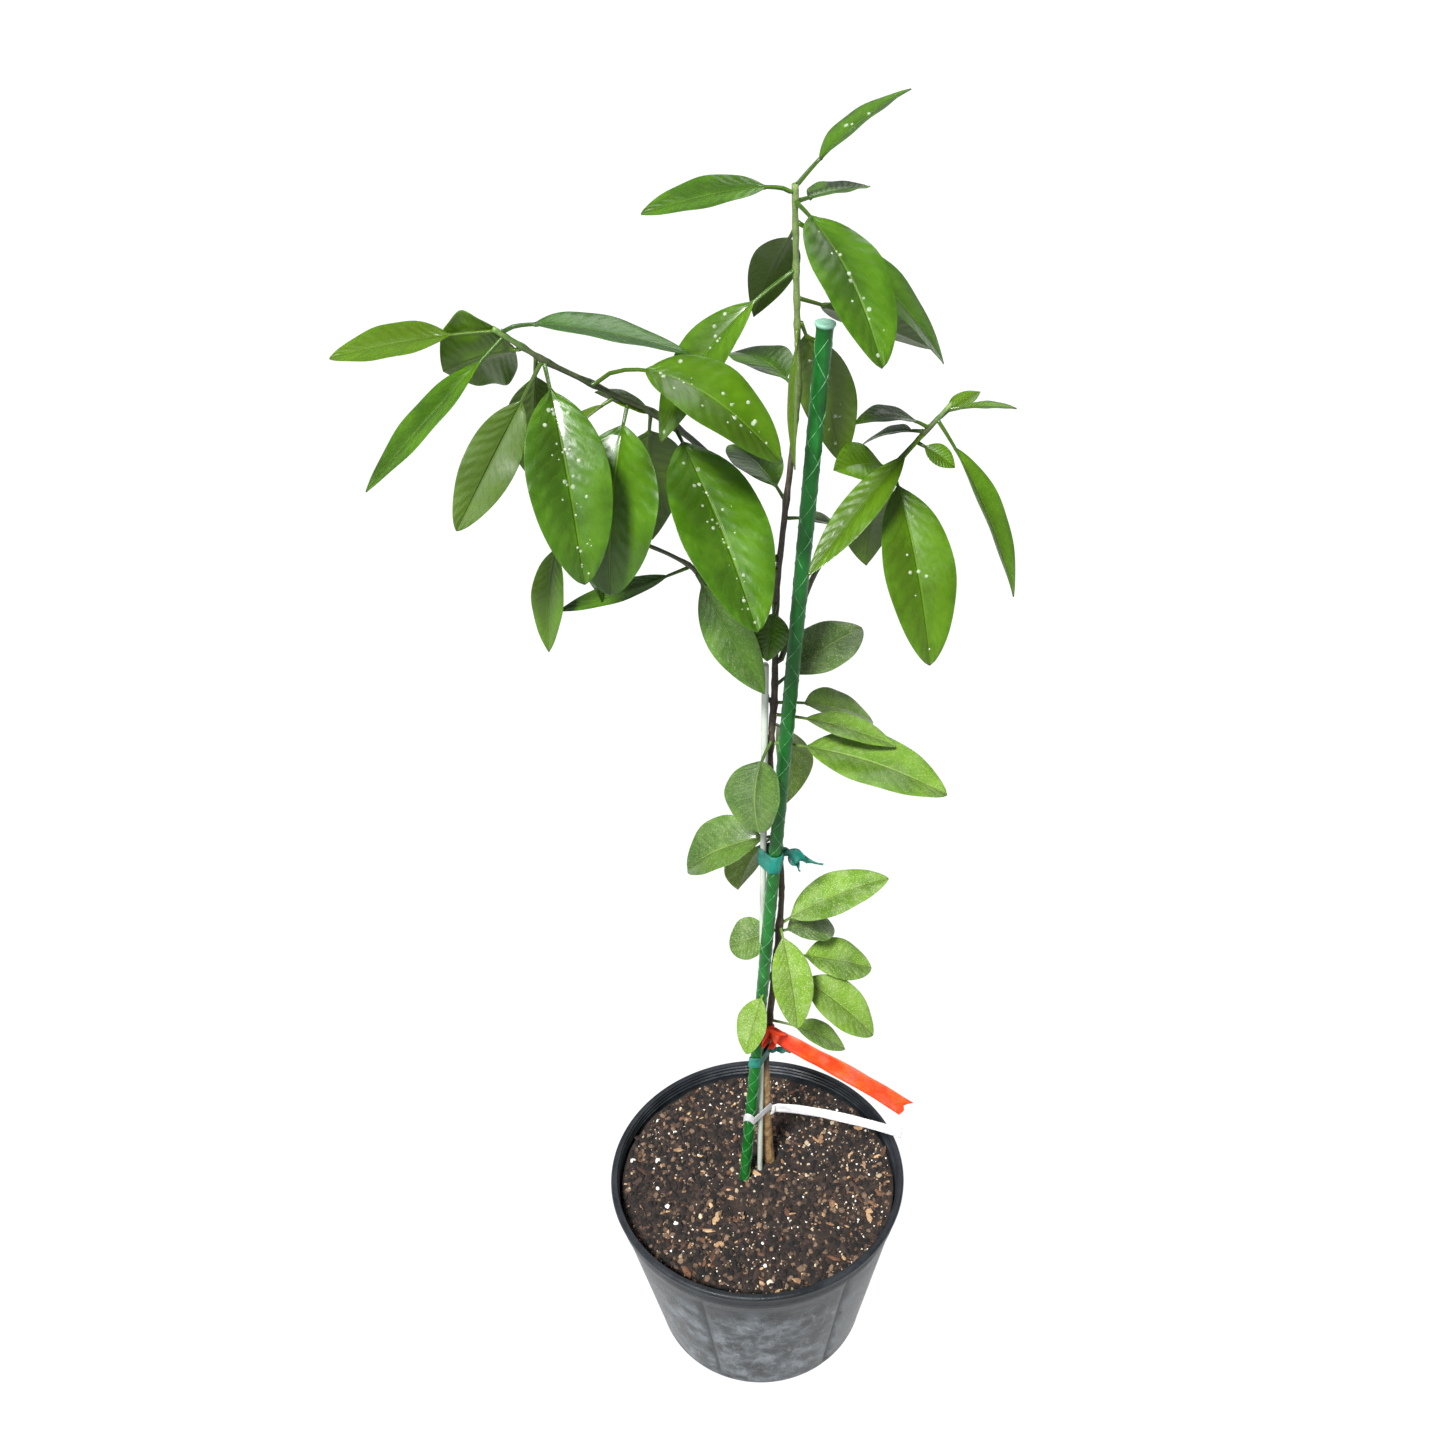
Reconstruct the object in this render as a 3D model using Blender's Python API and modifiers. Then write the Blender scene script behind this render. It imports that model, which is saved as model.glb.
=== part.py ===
"""Potted tangelo tree: a young citrus tied to a stake, in a round nursery pot.

The origin is the centre of the pot's base, +Z is up and the tree leans towards -Y and +X. Heights on the
tree are measured up from the soil, so the whole plant follows the pot's size.
"""
import math

import bmesh
import bpy
from mathutils import Vector

# ---- Pot ----
POT_HEIGHT = 0.200
LIP_RADIUS = 0.140            # outside of the rolled lip
BASE_RADIUS = 0.104           # outside of the wall where it meets the rounded base corner
POT_WALL = 0.0024
POT_FLOOR = 0.003
LIP_HEIGHT = 0.006
LIP_OVERHANG = 0.0035         # the lip stands out this far from the neck
NECK_HEIGHT = 0.013
NECK_STEP = 0.0015            # the wall starts this far inside the neck
CORNER_RADIUS = 0.012
POT_SEGMENTS = 48
BAR_SIDES = 14                # flats round the stake, the rod and their holes
GROOVE_COUNT = 6
GROOVE_RADIUS = 0.0025
GROOVE_DEPTH = 0.0010
GROOVE_TURN = 6               # degrees that the grooves stand round from being even about the front
DRAIN_COUNT = 4
DRAIN_RADIUS = 0.006
DRAIN_CIRCLE = 0.070

# ---- Soil ----
HEADSPACE = 0.016             # from the top of the lip down to the soil
SOIL_CROWN = 0.003            # the soil is this much higher in the middle
GAP = 0.0003                  # left between pieces that touch
HOLE_GAP = 0.0005             # a little more round a bar, whose hole has flats

# ---- Stake and rod: straight, each from a foot in the soil ----
STAKE_RADIUS = 0.0049
STAKE_FOOT = (-0.012, 0.002)
STAKE_LEAN = (0.0768, -0.0984)  # how far it goes to the right and back for each metre of height
STAKE_HEIGHT = 0.833
STAKE_DEPTH = 0.120
CAP_FLARE = 0.0011
CAP_HEIGHT = 0.004
ROD_RADIUS = 0.0025
ROD_FOOT = (0.003, 0.0031)    # its middle, right of the pot's centre and behind the stake's surface
ROD_LEAN = (0.0217, -0.0983)
ROD_HEIGHT = 0.600
ROD_DEPTH = 0.090

# ---- Stem: height above the soil, then right of the stake's middle, behind its surface, and radius ----
ROOT_DEPTH = 0.060
STEM_POINTS = (
    (0.000, 0.025, 0.0141, 0.0054),
    (0.070, 0.017, 0.0121, 0.0048),
    (0.140, 0.011, 0.0101, 0.0048),
    (0.165, 0.010, 0.0101, 0.0034),
    (0.265, 0.010, 0.0091, 0.0027),
    (0.345, 0.010, 0.0081, 0.0025),
    (0.400, 0.007, 0.0071, 0.0024),
    (0.505, -0.008, 0.0076, 0.0022),
    (0.575, -0.010, 0.0066, 0.0022),
    (0.650, -0.014, 0.0071, 0.0021),
    (0.740, -0.012, 0.0071, 0.0019),
    (0.790, -0.011, 0.0071, 0.0018),
    (0.826, -0.0145, 0.0051, 0.0017),
    (0.870, -0.019, 0.0011, 0.0016),
    (0.905, -0.0225, -0.0029, 0.0014),
)

# ---- Branches: height on the stem, then points as shifts from there, right, behind and up ----
BRANCHES = {
    "left": {
        "height": 0.679,
        "radii": (0.0021, 0.0012),
        "route": ((-0.032, 0.004, 0.055), (-0.064, -0.024, 0.099), (-0.087, -0.034, 0.116),
                  (-0.106, -0.043, 0.130), (-0.126, -0.054, 0.145), (-0.139, -0.059, 0.156),
                  (-0.152, -0.064, 0.167)),
    },
    "low": {
        "height": 0.566,
        "radii": (0.0018, 0.0011),
        "route": ((-0.010, 0.006, 0.016), (-0.022, 0.002, 0.045), (-0.036, -0.002, 0.077),
                  (-0.051, -0.009, 0.107), (-0.079, -0.017, 0.128), (-0.112, -0.023, 0.146),
                  (-0.134, -0.027, 0.139)),
    },
    "right": {
        "height": 0.600,
        "radii": (0.0020, 0.0010),
        "route": ((0.028, 0.014, 0.058), (0.055, 0.012, 0.100), (0.074, 0.002, 0.133),
                  (0.093, -0.008, 0.160), (0.107, -0.008, 0.176)),
    },
}

# ---- Leaves ----
LEAF_THICKNESS = 0.0009
PETIOLE_WIDTH = 0.0020
LEAF_FOLD = 14                # degrees that each half of the blade rises from the midrib
BLADE_STATIONS = 8
# Where on its stem (0 to 1), compass heading, rise and roll in degrees, length and width in millimetres,
# how far the spine arches over its chord and how long the petiole is, both as shares of the length.
LEAVES = {
    "stem": (
        (1.000, 25, 30, -8, 76, 34, 0.05, 0.20),
        (0.996, -170, -4, -20, 79, 28, 0.07, 0.16),
        (0.990, 50, -16, -15, 46, 28, 0.05, 0.14),
        (0.990, -60, -40, 0, 103, 40, 0.10, 0.12),
        (0.977, 10, -44, 26, 117, 38, 0.07, 0.14),
        (0.971, 115, -48, 30, 74, 27, 0.08, 0.08),
        (0.949, -172, -47, -20, 111, 23, 0.13, 0.20),
        (0.931, 29, -25, -30, 105, 36, 0.02, 0.14),
        (0.915, 43, -69, -30, 97, 34, 0.06, 0.08),
        (0.872, 128, 8, 0, 59, 38, 0.10, 0.14),
        (0.794, 125, 17, 0, 60, 34, 0.10, 0.14),
        (0.712, -106, -50, 0, 37, 26, 0.05, 0.14),
        (0.640, 36, 13, 20, 77, 40, 0.06, 0.14),
        (0.622, 34, -29, 24, 99, 34, 0.06, 0.24),
        (0.612, -8, -15, 10, 86, 26, 0.06, 0.22),
        (0.600, 82, -70, 30, 106, 34, 0.18, 0.12),
        (0.584, -17, -11, 12, 126, 50, 0.08, 0.18),
        (0.562, -101, -58, 25, 68, 50, 0.18, 0.22),
        (0.484, 174, -28, -20, 76, 48, 0.12, 0.10),
        (0.482, 140, -62, 20, 80, 40, 0.08, 0.24),
        (0.379, 10, 19, 15, 91, 40, 0.08, 0.07),
        (0.374, -73, -62, 0, 84, 34, 0.08, 0.08),
        (0.362, 34, -12, 0, 55, 34, 0.08, 0.08),
        (0.368, 143, -44, -60, 46, 26, 0.05, 0.26),
        (0.336, 15, -25, 25, 89, 39, 0.06, 0.24),
        (0.323, -14, -39, 22, 103, 41, 0.09, 0.22),
        (0.320, -106, -54, 8, 75, 29, 0.06, 0.34),
        (0.242, 4, -34, 15, 76, 27, 0.08, 0.24),
    ),
    "left": (
        (1.000, -175, -6, -20, 86, 30, 0.03, 0.24),
        (0.925, 178, -14, 58, 44, 58, 0.05, 0.05),
        (0.972, -156, -39, -10, 109, 29, 0.01, 0.14),
        (0.976, 14, -13, 10, 103, 32, 0.07, 0.14),
        (0.869, -141, -50, -50, 101, 29, 0.00, 0.22),
        (0.860, -73, -62, 0, 119, 46, 0.08, 0.12),
        (0.733, -19, -18, 20, 113, 46, 0.24, 0.26),
        (0.630, -110, -66, 0, 107, 60, 0.08, 0.10),
        (0.560, 108, -79, 0, 84, 50, 0.08, 0.12),
        (0.481, -63, -43, 0, 129, 56, 0.05, 0.06),
    ),
    "low": (
        (1.000, -128, -75, 0, 72, 28, 0.04, 0.06),
        (0.566, -165, -11, -10, 86, 22, -0.02, 0.14),
        (0.522, -34, -56, 62, 88, 32, 0.04, 0.06),
    ),
    "right": (
        (0.985, -10, 2, 0, 38, 13, 0.04, 0.14),
        (0.936, -32, -61, 0, 117, 27, 0.05, 0.14),
        (0.904, -168, 8, 0, 45, 30, 0.12, 0.14),
        (0.875, -140, -33, -20, 111, 23, 0.02, 0.14),
        (0.730, -72, -58, 0, 122, 47, 0.07, 0.08),
        (0.730, -148, 12, -30, 43, 32, 0.10, 0.14),
        (0.684, 105, -67, 0, 78, 40, 0.08, 0.12),
    ),
}
OLD_LEAF_LIMIT = 0.66         # stem leaves below this share of the stem are the older, duller ones

# ---- Ties, tape and label: a band round the stems, with a loose tail ----
BAND_THICKNESS = 0.0008
TAIL_THICKNESS = 0.00072
BAND_SIDES = 24
# Bottom and top of the band above the soil, how much higher it sits in front than its middle, the stems it
# holds, and the tail's width and points as shifts from the band's right side: right, behind and up.
BANDS = {
    "tie_upper": {
        "span": (0.416, 0.429), "tilt": 0.0, "holds": ("stake", "rod", "stem"), "tail_width": 0.010,
        "tail": ((0.006, -0.004, 0.0), (0.015, -0.008, 0.003), (0.026, -0.006, -0.004)),
    },
    "tie_lower": {
        "span": (0.176, 0.185), "tilt": 0.004, "holds": ("stake", "rod", "stem"), "tail_width": 0.005,
        "tail": ((0.008, 0.000, 0.0), (0.016, -0.004, 0.002), (0.024, -0.006, 0.006)),
    },
    "marking_tape": {
        "span": (0.200, 0.214), "tilt": 0.0, "holds": ("stem",), "tail_width": 0.015,
        "tail": ((0.010, -0.003, -0.001), (0.038, -0.017, -0.006), (0.073, -0.033, -0.018),
                 (0.113, -0.049, -0.039)),
    },
    "wrap_label": {
        "span": (0.087, 0.098), "tilt": 0.011, "holds": ("stake", "rod", "stem"), "tail_width": 0.009,
        "tail": ((0.010, 0.000, 0.001), (0.040, -0.010, 0.006), (0.080, -0.020, 0.003),
                 (0.118, -0.030, -0.003)),
    },
}

# ---- Colours: red, green, blue, roughness ----
FINISHES = {
    "pot_plastic": (0.075, 0.085, 0.095, 0.55),
    "soil": (0.060, 0.038, 0.024, 0.95),
    "stake_green": (0.015, 0.200, 0.075, 0.40),
    "rod_white": (0.720, 0.780, 0.700, 0.45),
    "bark": (0.300, 0.200, 0.100, 0.80),
    "green_wood": (0.060, 0.070, 0.025, 0.60),
    "leaf_young": (0.070, 0.230, 0.015, 0.35),
    "leaf_old": (0.140, 0.290, 0.070, 0.55),
    "tie_teal": (0.000, 0.160, 0.120, 0.45),
    "tape_orange": (0.950, 0.090, 0.005, 0.40),
    "label_white": (0.850, 0.850, 0.850, 0.45),
}

SOIL_TOP = POT_HEIGHT - HEADSPACE
NECK_RADIUS = LIP_RADIUS - LIP_OVERHANG
NECK_BOTTOM = POT_HEIGHT - LIP_HEIGHT - NECK_HEIGHT
WALL_TOP = (NECK_RADIUS - NECK_STEP, NECK_BOTTOM - NECK_STEP)  # radius and height where the wall ends


def clear_scene():
    """Remove whatever the file already holds."""
    for obj in list(bpy.data.objects):
        bpy.data.objects.remove(obj, do_unlink=True)


def make_collection(name):
    collection = bpy.data.collections.new(name)
    bpy.context.scene.collection.children.link(collection)
    return collection


def make_material(name):
    """A Principled material with one of the named finishes."""
    red, green, blue, roughness = FINISHES[name]
    material = bpy.data.materials.new(name)
    material.use_nodes = True
    shader = material.node_tree.nodes["Principled BSDF"]
    shader.inputs["Base Color"].default_value = (red, green, blue, 1.0)
    shader.inputs["Roughness"].default_value = roughness
    shader.inputs["Metallic"].default_value = 0.0
    return material


def add_object(name, data, collection, material=None):
    obj = bpy.data.objects.new(name, data)
    collection.objects.link(obj)
    if material is not None:
        data.materials.append(material)
    return obj


def mesh_from(bm, name, smooth_degrees=40):
    """Turn a bmesh into a mesh whose gentle edges are shaded smooth."""
    mesh = bpy.data.meshes.new(name)
    bm.to_mesh(mesh)
    bm.free()
    mesh.shade_smooth()
    mesh.set_sharp_from_angle(angle=math.radians(smooth_degrees))
    return mesh


def boolean(obj, cutter, operation):
    """Cut or join with an exact Boolean; the second object becomes a hidden guide."""
    modifier = obj.modifiers.new(operation.lower(), "BOOLEAN")
    modifier.object = cutter
    modifier.operation = operation
    modifier.solver = "EXACT"
    cutter.hide_render = True
    cutter.display_type = "WIRE"


def lathe(name, profile, segments, collection, material):
    """Turn a profile, listed so that it runs down its outer side, about the Z axis."""
    bm = bmesh.new()
    verts = [bm.verts.new((radius, 0.0, height)) for radius, height in profile]
    for first, second in zip(verts, verts[1:]):
        bm.edges.new((first, second))
    obj = add_object(name, mesh_from(bm, name), collection, material)
    screw = obj.modifiers.new("turn", "SCREW")
    screw.steps = segments
    screw.render_steps = segments
    screw.use_merge_vertices = True
    screw.merge_threshold = 1e-5
    return obj


def arc(centre, radius, start, end, steps):
    """Points of a profile's rounded stretch, by angle in degrees from outwards."""
    points = []
    for step in range(steps + 1):
        angle = math.radians(start + (end - start) * step / steps)
        points.append((centre[0] + radius * math.cos(angle), centre[1] + radius * math.sin(angle)))
    return points


def bar(name, start, end, radius, collection, material=None):
    """A straight round bar between two points."""
    along = end - start
    bm = bmesh.new()
    bmesh.ops.create_cone(bm, cap_ends=True, segments=BAR_SIDES, radius1=radius, radius2=radius,
                          depth=along.length)
    obj = add_object(name, mesh_from(bm, name), collection, material)
    obj.location = start + along / 2
    obj.rotation_mode = "QUATERNION"
    obj.rotation_quaternion = along.to_track_quat("Z", "Y")
    return obj


# ---- Centre lines ----

def stake_at(height):
    """The stake's centre line at a height above the soil."""
    return Vector((STAKE_FOOT[0] + STAKE_LEAN[0] * height, STAKE_FOOT[1] + STAKE_LEAN[1] * height,
                   SOIL_TOP + height))


def rod_at(height):
    """The rod's centre line at a height above the soil; it stands off from the stake's surface."""
    behind = STAKE_FOOT[1] + STAKE_RADIUS + ROD_FOOT[1]
    return Vector((ROD_FOOT[0] + ROD_LEAN[0] * height, behind + ROD_LEAN[1] * height, SOIL_TOP + height))


def smooth_route(points, steps):
    """A smooth curve through points of any size, such as a place and a radius together."""
    ends = [tuple(2 * a - b for a, b in zip(points[0], points[1]))]
    ends.extend(points)
    ends.append(tuple(2 * a - b for a, b in zip(points[-1], points[-2])))
    route = []
    for first, here, there, last in zip(ends, ends[1:], ends[2:], ends[3:]):
        for step in range(steps):
            t = step / steps
            route.append(tuple(
                0.5 * (2 * b + (c - a) * t + (2 * a - 5 * b + 4 * c - d) * t * t
                       + (3 * b - a - 3 * c + d) * t ** 3)
                for a, b, c, d in zip(first, here, there, last)))
    route.append(tuple(points[-1]))
    return route


def stem_route():
    """The main stem from the roots up, as (x, y, z, radius)."""
    points = []
    for height, right, behind, radius in STEM_POINTS:
        spot = stake_at(height) + Vector((right, STAKE_RADIUS + behind, 0.0))
        points.append((*spot, radius))
    return smooth_route(points, 3)


def point_at(route, share):
    """The place, direction and radius at a share of a route's length."""
    places = [Vector(point[:3]) for point in route]
    lengths = [(b - a).length for a, b in zip(places, places[1:])]
    left = share * sum(lengths)
    for index, length in enumerate(lengths):
        if left <= length or index == len(lengths) - 1:
            t = left / length
            radius = route[index][3] + (route[index + 1][3] - route[index][3]) * t
            along = (places[index + 1] - places[index]).normalized()
            return places[index].lerp(places[index + 1], t), along, radius
        left -= length


def at_height(route, height):
    """The place and radius where a route passes a height above the soil."""
    level = SOIL_TOP + height
    for low, high in zip(route, route[1:]):
        if low[2] <= level <= high[2]:
            t = (level - low[2]) / (high[2] - low[2])
            return Vector(low[:3]).lerp(Vector(high[:3]), t), low[3] + (high[3] - low[3]) * t


def branch_route(stem, plan):
    """A branch from just clear of the stem's bark to its tip, as (x, y, z, radius)."""
    start, stem_radius = at_height(stem, plan["height"])
    out = Vector((plan["route"][0][0], plan["route"][0][1], 0.0)).normalized()
    thick, thin = plan["radii"]
    spots = [out * (stem_radius + thick + 2 * GAP)] + [Vector(shift) for shift in plan["route"]]
    points = []
    for index, spot in enumerate(spots):
        radius = thick + (thin - thick) * index / (len(spots) - 1)
        points.append((*(start + spot), radius))
    return smooth_route(points, 2)


# ---- Pieces ----

def pot_profile():
    """The pot's section from the middle of its floor, up the inside and down the outside."""
    lip = LIP_HEIGHT / 2
    outside = arc((LIP_RADIUS - lip, POT_HEIGHT - lip), lip, 90, -90, 4)
    outside.append((NECK_RADIUS, POT_HEIGHT - LIP_HEIGHT - LIP_OVERHANG / 2))
    outside.append((NECK_RADIUS, NECK_BOTTOM))
    outside.append(WALL_TOP)
    outside.extend(arc((BASE_RADIUS - CORNER_RADIUS, CORNER_RADIUS), CORNER_RADIUS, 0, -90, 4))
    outside.append((0.0, 0.0))
    inside = [(0.0, POT_FLOOR), (BASE_RADIUS - CORNER_RADIUS, POT_FLOOR)]
    inside.append((BASE_RADIUS - POT_WALL, CORNER_RADIUS))
    inside.append((WALL_TOP[0] - POT_WALL, WALL_TOP[1]))
    inside.append((NECK_RADIUS - POT_WALL, POT_HEIGHT - LIP_HEIGHT))
    inside.append((NECK_RADIUS - POT_WALL, POT_HEIGHT))
    return inside + outside


def inner_radius(height):
    """The pot's inside radius at a height on its sloping wall, no wider than the top of that wall."""
    share = min((height - CORNER_RADIUS) / (WALL_TOP[1] - CORNER_RADIUS), 1.0)
    return BASE_RADIUS - POT_WALL + (WALL_TOP[0] - BASE_RADIUS) * share


def make_pot(collection, cutters):
    """The turned pot, with shallow grooves down its wall and drain holes through its floor."""
    pot = lathe("pot", pot_profile(), POT_SEGMENTS, collection, make_material("pot_plastic"))
    stand_off = GROOVE_RADIUS - GROOVE_DEPTH
    for index in range(GROOVE_COUNT):
        angle = 2 * math.pi * (index + 0.5) / GROOVE_COUNT + math.radians(90 + GROOVE_TURN)
        out = Vector((math.cos(angle), math.sin(angle), 0.0))
        top = out * (WALL_TOP[0] + stand_off) + Vector((0, 0, WALL_TOP[1]))
        bottom = out * (BASE_RADIUS + stand_off) + Vector((0, 0, CORNER_RADIUS))
        cutter = bar(f"groove_cutter_{index + 1}", bottom, top, GROOVE_RADIUS, cutters)
        boolean(pot, cutter, "DIFFERENCE")
    for index in range(DRAIN_COUNT):
        angle = 2 * math.pi * (index + 0.5) / DRAIN_COUNT
        spot = Vector((DRAIN_CIRCLE * math.cos(angle), DRAIN_CIRCLE * math.sin(angle), 0.0))
        below = spot - Vector((0, 0, POT_FLOOR))
        above = spot + Vector((0, 0, 2 * POT_FLOOR))
        cutter = bar(f"drain_cutter_{index + 1}", below, above, DRAIN_RADIUS, cutters)
        boolean(pot, cutter, "DIFFERENCE")


def make_soil(stem, collection, cutters):
    """The soil fills the pot, with a close hole round the stake, the rod and the roots."""
    floor = POT_FLOOR + GAP
    corner = BASE_RADIUS - CORNER_RADIUS - GAP
    profile = [(0.0, SOIL_TOP + SOIL_CROWN)]
    for share in (0.4, 0.75, 0.93):
        height = SOIL_TOP + SOIL_CROWN * (1 - share ** 2)
        profile.append((share * (inner_radius(SOIL_TOP) - GAP), height))
    profile.append((inner_radius(SOIL_TOP - GAP) - 2 * GAP, SOIL_TOP))
    profile.append((inner_radius(CORNER_RADIUS) - 2 * GAP, CORNER_RADIUS))
    profile.append((corner - GAP, floor))
    profile.append((0.0, floor))
    soil = lathe("soil", profile, POT_SEGMENTS, collection, make_material("soil"))
    over = 2 * SOIL_CROWN
    holes = {
        "stake": (stake_at(-STAKE_DEPTH - GAP), stake_at(over), STAKE_RADIUS),
        "rod": (rod_at(-ROD_DEPTH - GAP), rod_at(over), ROD_RADIUS),
        "root": (root_end(stem, ROOT_DEPTH + GAP), root_end(stem, -over), stem[0][3]),
    }
    for name, (bottom, top, radius) in holes.items():
        cutter = bar(f"{name}_hole_cutter", bottom, top, radius + HOLE_GAP, cutters)
        boolean(soil, cutter, "DIFFERENCE")


def root_end(stem, depth):
    """The stem's line carried straight on below the soil."""
    first = Vector(stem[0][:3])
    along = (Vector(stem[1][:3]) - first).normalized()
    return first - along * depth


def make_stake(collection):
    """The coated stake, whose cap flares a little at the top."""
    length = (stake_at(STAKE_HEIGHT) - stake_at(-STAKE_DEPTH)).length
    profile = [(0.0, length), (STAKE_RADIUS + CAP_FLARE, length),
               (STAKE_RADIUS + CAP_FLARE / 2, length - CAP_HEIGHT / 2), (STAKE_RADIUS, length - CAP_HEIGHT),
               (STAKE_RADIUS, 0.0), (0.0, 0.0)]
    stake = lathe("stake", profile, BAR_SIDES, collection, make_material("stake_green"))
    stake.location = stake_at(-STAKE_DEPTH)
    stake.rotation_mode = "QUATERNION"
    along = stake_at(STAKE_HEIGHT) - stake_at(-STAKE_DEPTH)
    stake.rotation_quaternion = along.to_track_quat("Z", "Y")


def make_tube(name, route, collection, material):
    """A round stem along a route of places and radii."""
    curve = bpy.data.curves.new(name, "CURVE")
    curve.dimensions = "3D"
    curve.bevel_depth = 1.0
    curve.bevel_resolution = 2
    curve.use_fill_caps = True
    spline = curve.splines.new("POLY")
    spline.points.add(len(route) - 1)
    for point, (x, y, z, radius) in zip(spline.points, route):
        point.co = (x, y, z, 1.0)
        point.radius = radius
    return add_object(name, curve, collection, material)


def make_stems(routes, collection):
    """The main stem, with its root, and the branches."""
    root = root_end(routes["stem"], ROOT_DEPTH)
    whole = [(*root, routes["stem"][0][3])] + routes["stem"]
    make_tube("stem", whole, collection, make_material("bark"))
    material = make_material("green_wood")
    for name in BRANCHES:
        make_tube(f"branch_{name}", routes[name], collection, material)


def blade_width(share):
    """A leaf's width along its blade, as a share of its greatest width."""
    return math.sin(math.pi * share ** 0.9) ** 0.8


def leaf_mesh(name, length, width, arch, petiole_share):
    """A leaf with its petiole at the origin and its tip on +X, arching up and folded on its midrib."""
    petiole = petiole_share * length
    stations = [0.0, petiole * 0.5]
    for step in range(BLADE_STATIONS + 1):
        stations.append(petiole + (length - petiole) * step / BLADE_STATIONS)
    fold = math.radians(LEAF_FOLD)
    bm = bmesh.new()
    bmesh.ops.create_grid(bm, x_segments=len(stations) - 1, y_segments=2, size=0.5)
    for vert in bm.verts:
        along = stations[round((vert.co.x + 0.5) * (len(stations) - 1))]
        side = round(vert.co.y * 2)
        half = PETIOLE_WIDTH / 2
        if along > petiole:
            half = max(width / 2 * blade_width((along - petiole) / (length - petiole)), PETIOLE_WIDTH / 4)
        share = along / length
        lift = arch * length * 4 * share * (1 - share)
        rise = half * math.sin(fold) if along > petiole else 0.0
        vert.co = (along, side * half * math.cos(fold), lift + abs(side) * rise)
    return mesh_from(bm, name, 60)


def make_leaf(name, route, row, collection, material):
    """A leaf placed on its stem, its petiole just clear of the bark."""
    share, heading, rise, roll, length, width, arch, petiole_share = row
    place, along, radius = point_at(route, share)
    turn = math.radians(heading)
    tilt = math.radians(rise)
    aim = Vector((math.cos(tilt) * math.cos(turn), math.cos(tilt) * math.sin(turn), math.sin(tilt)))
    out = (aim - along * aim.dot(along)).normalized()
    shape = leaf_mesh(name, length / 1000, width / 1000, arch, petiole_share)
    leaf = add_object(name, shape, collection, material)
    leaf.location = place + out * (radius + GAP + PETIOLE_WIDTH / 2)
    leaf.rotation_euler = (math.radians(roll), -tilt, turn)
    solidify = leaf.modifiers.new("thickness", "SOLIDIFY")
    solidify.thickness = LEAF_THICKNESS
    solidify.offset = 0.0


def make_leaves(routes, collection):
    """Every leaf of every stem, numbered along its stem."""
    young = make_material("leaf_young")
    old = make_material("leaf_old")
    for stem, rows in LEAVES.items():
        for index, row in enumerate(rows):
            material = old if stem == "stem" and row[0] < OLD_LEAF_LIMIT else young
            make_leaf(f"leaf_{stem}_{index + 1:02d}", routes[stem], row, collection, material)


def band_ring(height, tilt, holds, stem):
    """The tight outline round the held stems, a little higher in front when the band is tilted."""
    ring = []
    for step in range(BAND_SIDES):
        angle = 2 * math.pi * step / BAND_SIDES
        out = Vector((math.cos(angle), math.sin(angle), 0.0))
        level = height - tilt * out.y
        lines = {"stake": (stake_at(level), STAKE_RADIUS), "rod": (rod_at(level), ROD_RADIUS),
                 "stem": at_height(stem, level)}
        centre, radius = max((lines[name] for name in holds), key=lambda line: line[0].dot(out) + line[1])
        ring.append(centre + out * (radius + 2 * GAP))
    return ring


def make_tail(name, plan, rings, cutters):
    """A flat strip that starts inside the band's wall on its right side and hangs free."""
    start = (rings[0][0] + rings[1][0]) / 2 + Vector((BAND_THICKNESS / 2, 0.0, 0.0))
    places = [start] + [start + Vector(shift) for shift in plan["tail"]]
    route = [Vector(place) for place in smooth_route([tuple(place) for place in places], 3)]
    bm = bmesh.new()
    bmesh.ops.create_grid(bm, x_segments=len(route) - 1, y_segments=1, size=0.5)
    for vert in bm.verts:
        index = round((vert.co.x + 0.5) * (len(route) - 1))
        vert.co = route[index] + Vector((0, 0, vert.co.y * plan["tail_width"]))
    tail = add_object(name, mesh_from(bm, name), cutters)
    strip = tail.modifiers.new("thickness", "SOLIDIFY")
    strip.thickness = TAIL_THICKNESS
    strip.offset = 0.0
    return tail


def make_band(name, plan, stem, collection, cutters, material):
    """A thin band round the stems, joined to its loose tail."""
    rings = [band_ring(height, plan["tilt"], plan["holds"], stem) for height in plan["span"]]
    bm = bmesh.new()
    bmesh.ops.create_cone(bm, cap_ends=False, segments=BAND_SIDES, radius1=1.0, radius2=1.0, depth=2.0)
    for vert in bm.verts:
        side = round(math.atan2(vert.co.y, vert.co.x) / (2 * math.pi) * BAND_SIDES) % BAND_SIDES
        vert.co = rings[1 if vert.co.z > 0 else 0][side]
    band = add_object(name, mesh_from(bm, name), collection, material)
    shell = band.modifiers.new("thickness", "SOLIDIFY")
    shell.thickness = BAND_THICKNESS
    shell.offset = 1.0
    shell.use_even_offset = True
    tail = make_tail(f"{name}_tail", plan, rings, cutters)
    boolean(band, tail, "UNION")


def make_bands(stem, collection, cutters):
    """The two teal ties, the orange tape and the white label."""
    teal = make_material("tie_teal")
    finishes = {"tie_upper": teal, "tie_lower": teal, "marking_tape": make_material("tape_orange"),
                "wrap_label": make_material("label_white")}
    for name, plan in BANDS.items():
        make_band(name, plan, stem, collection, cutters, finishes[name])


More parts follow.
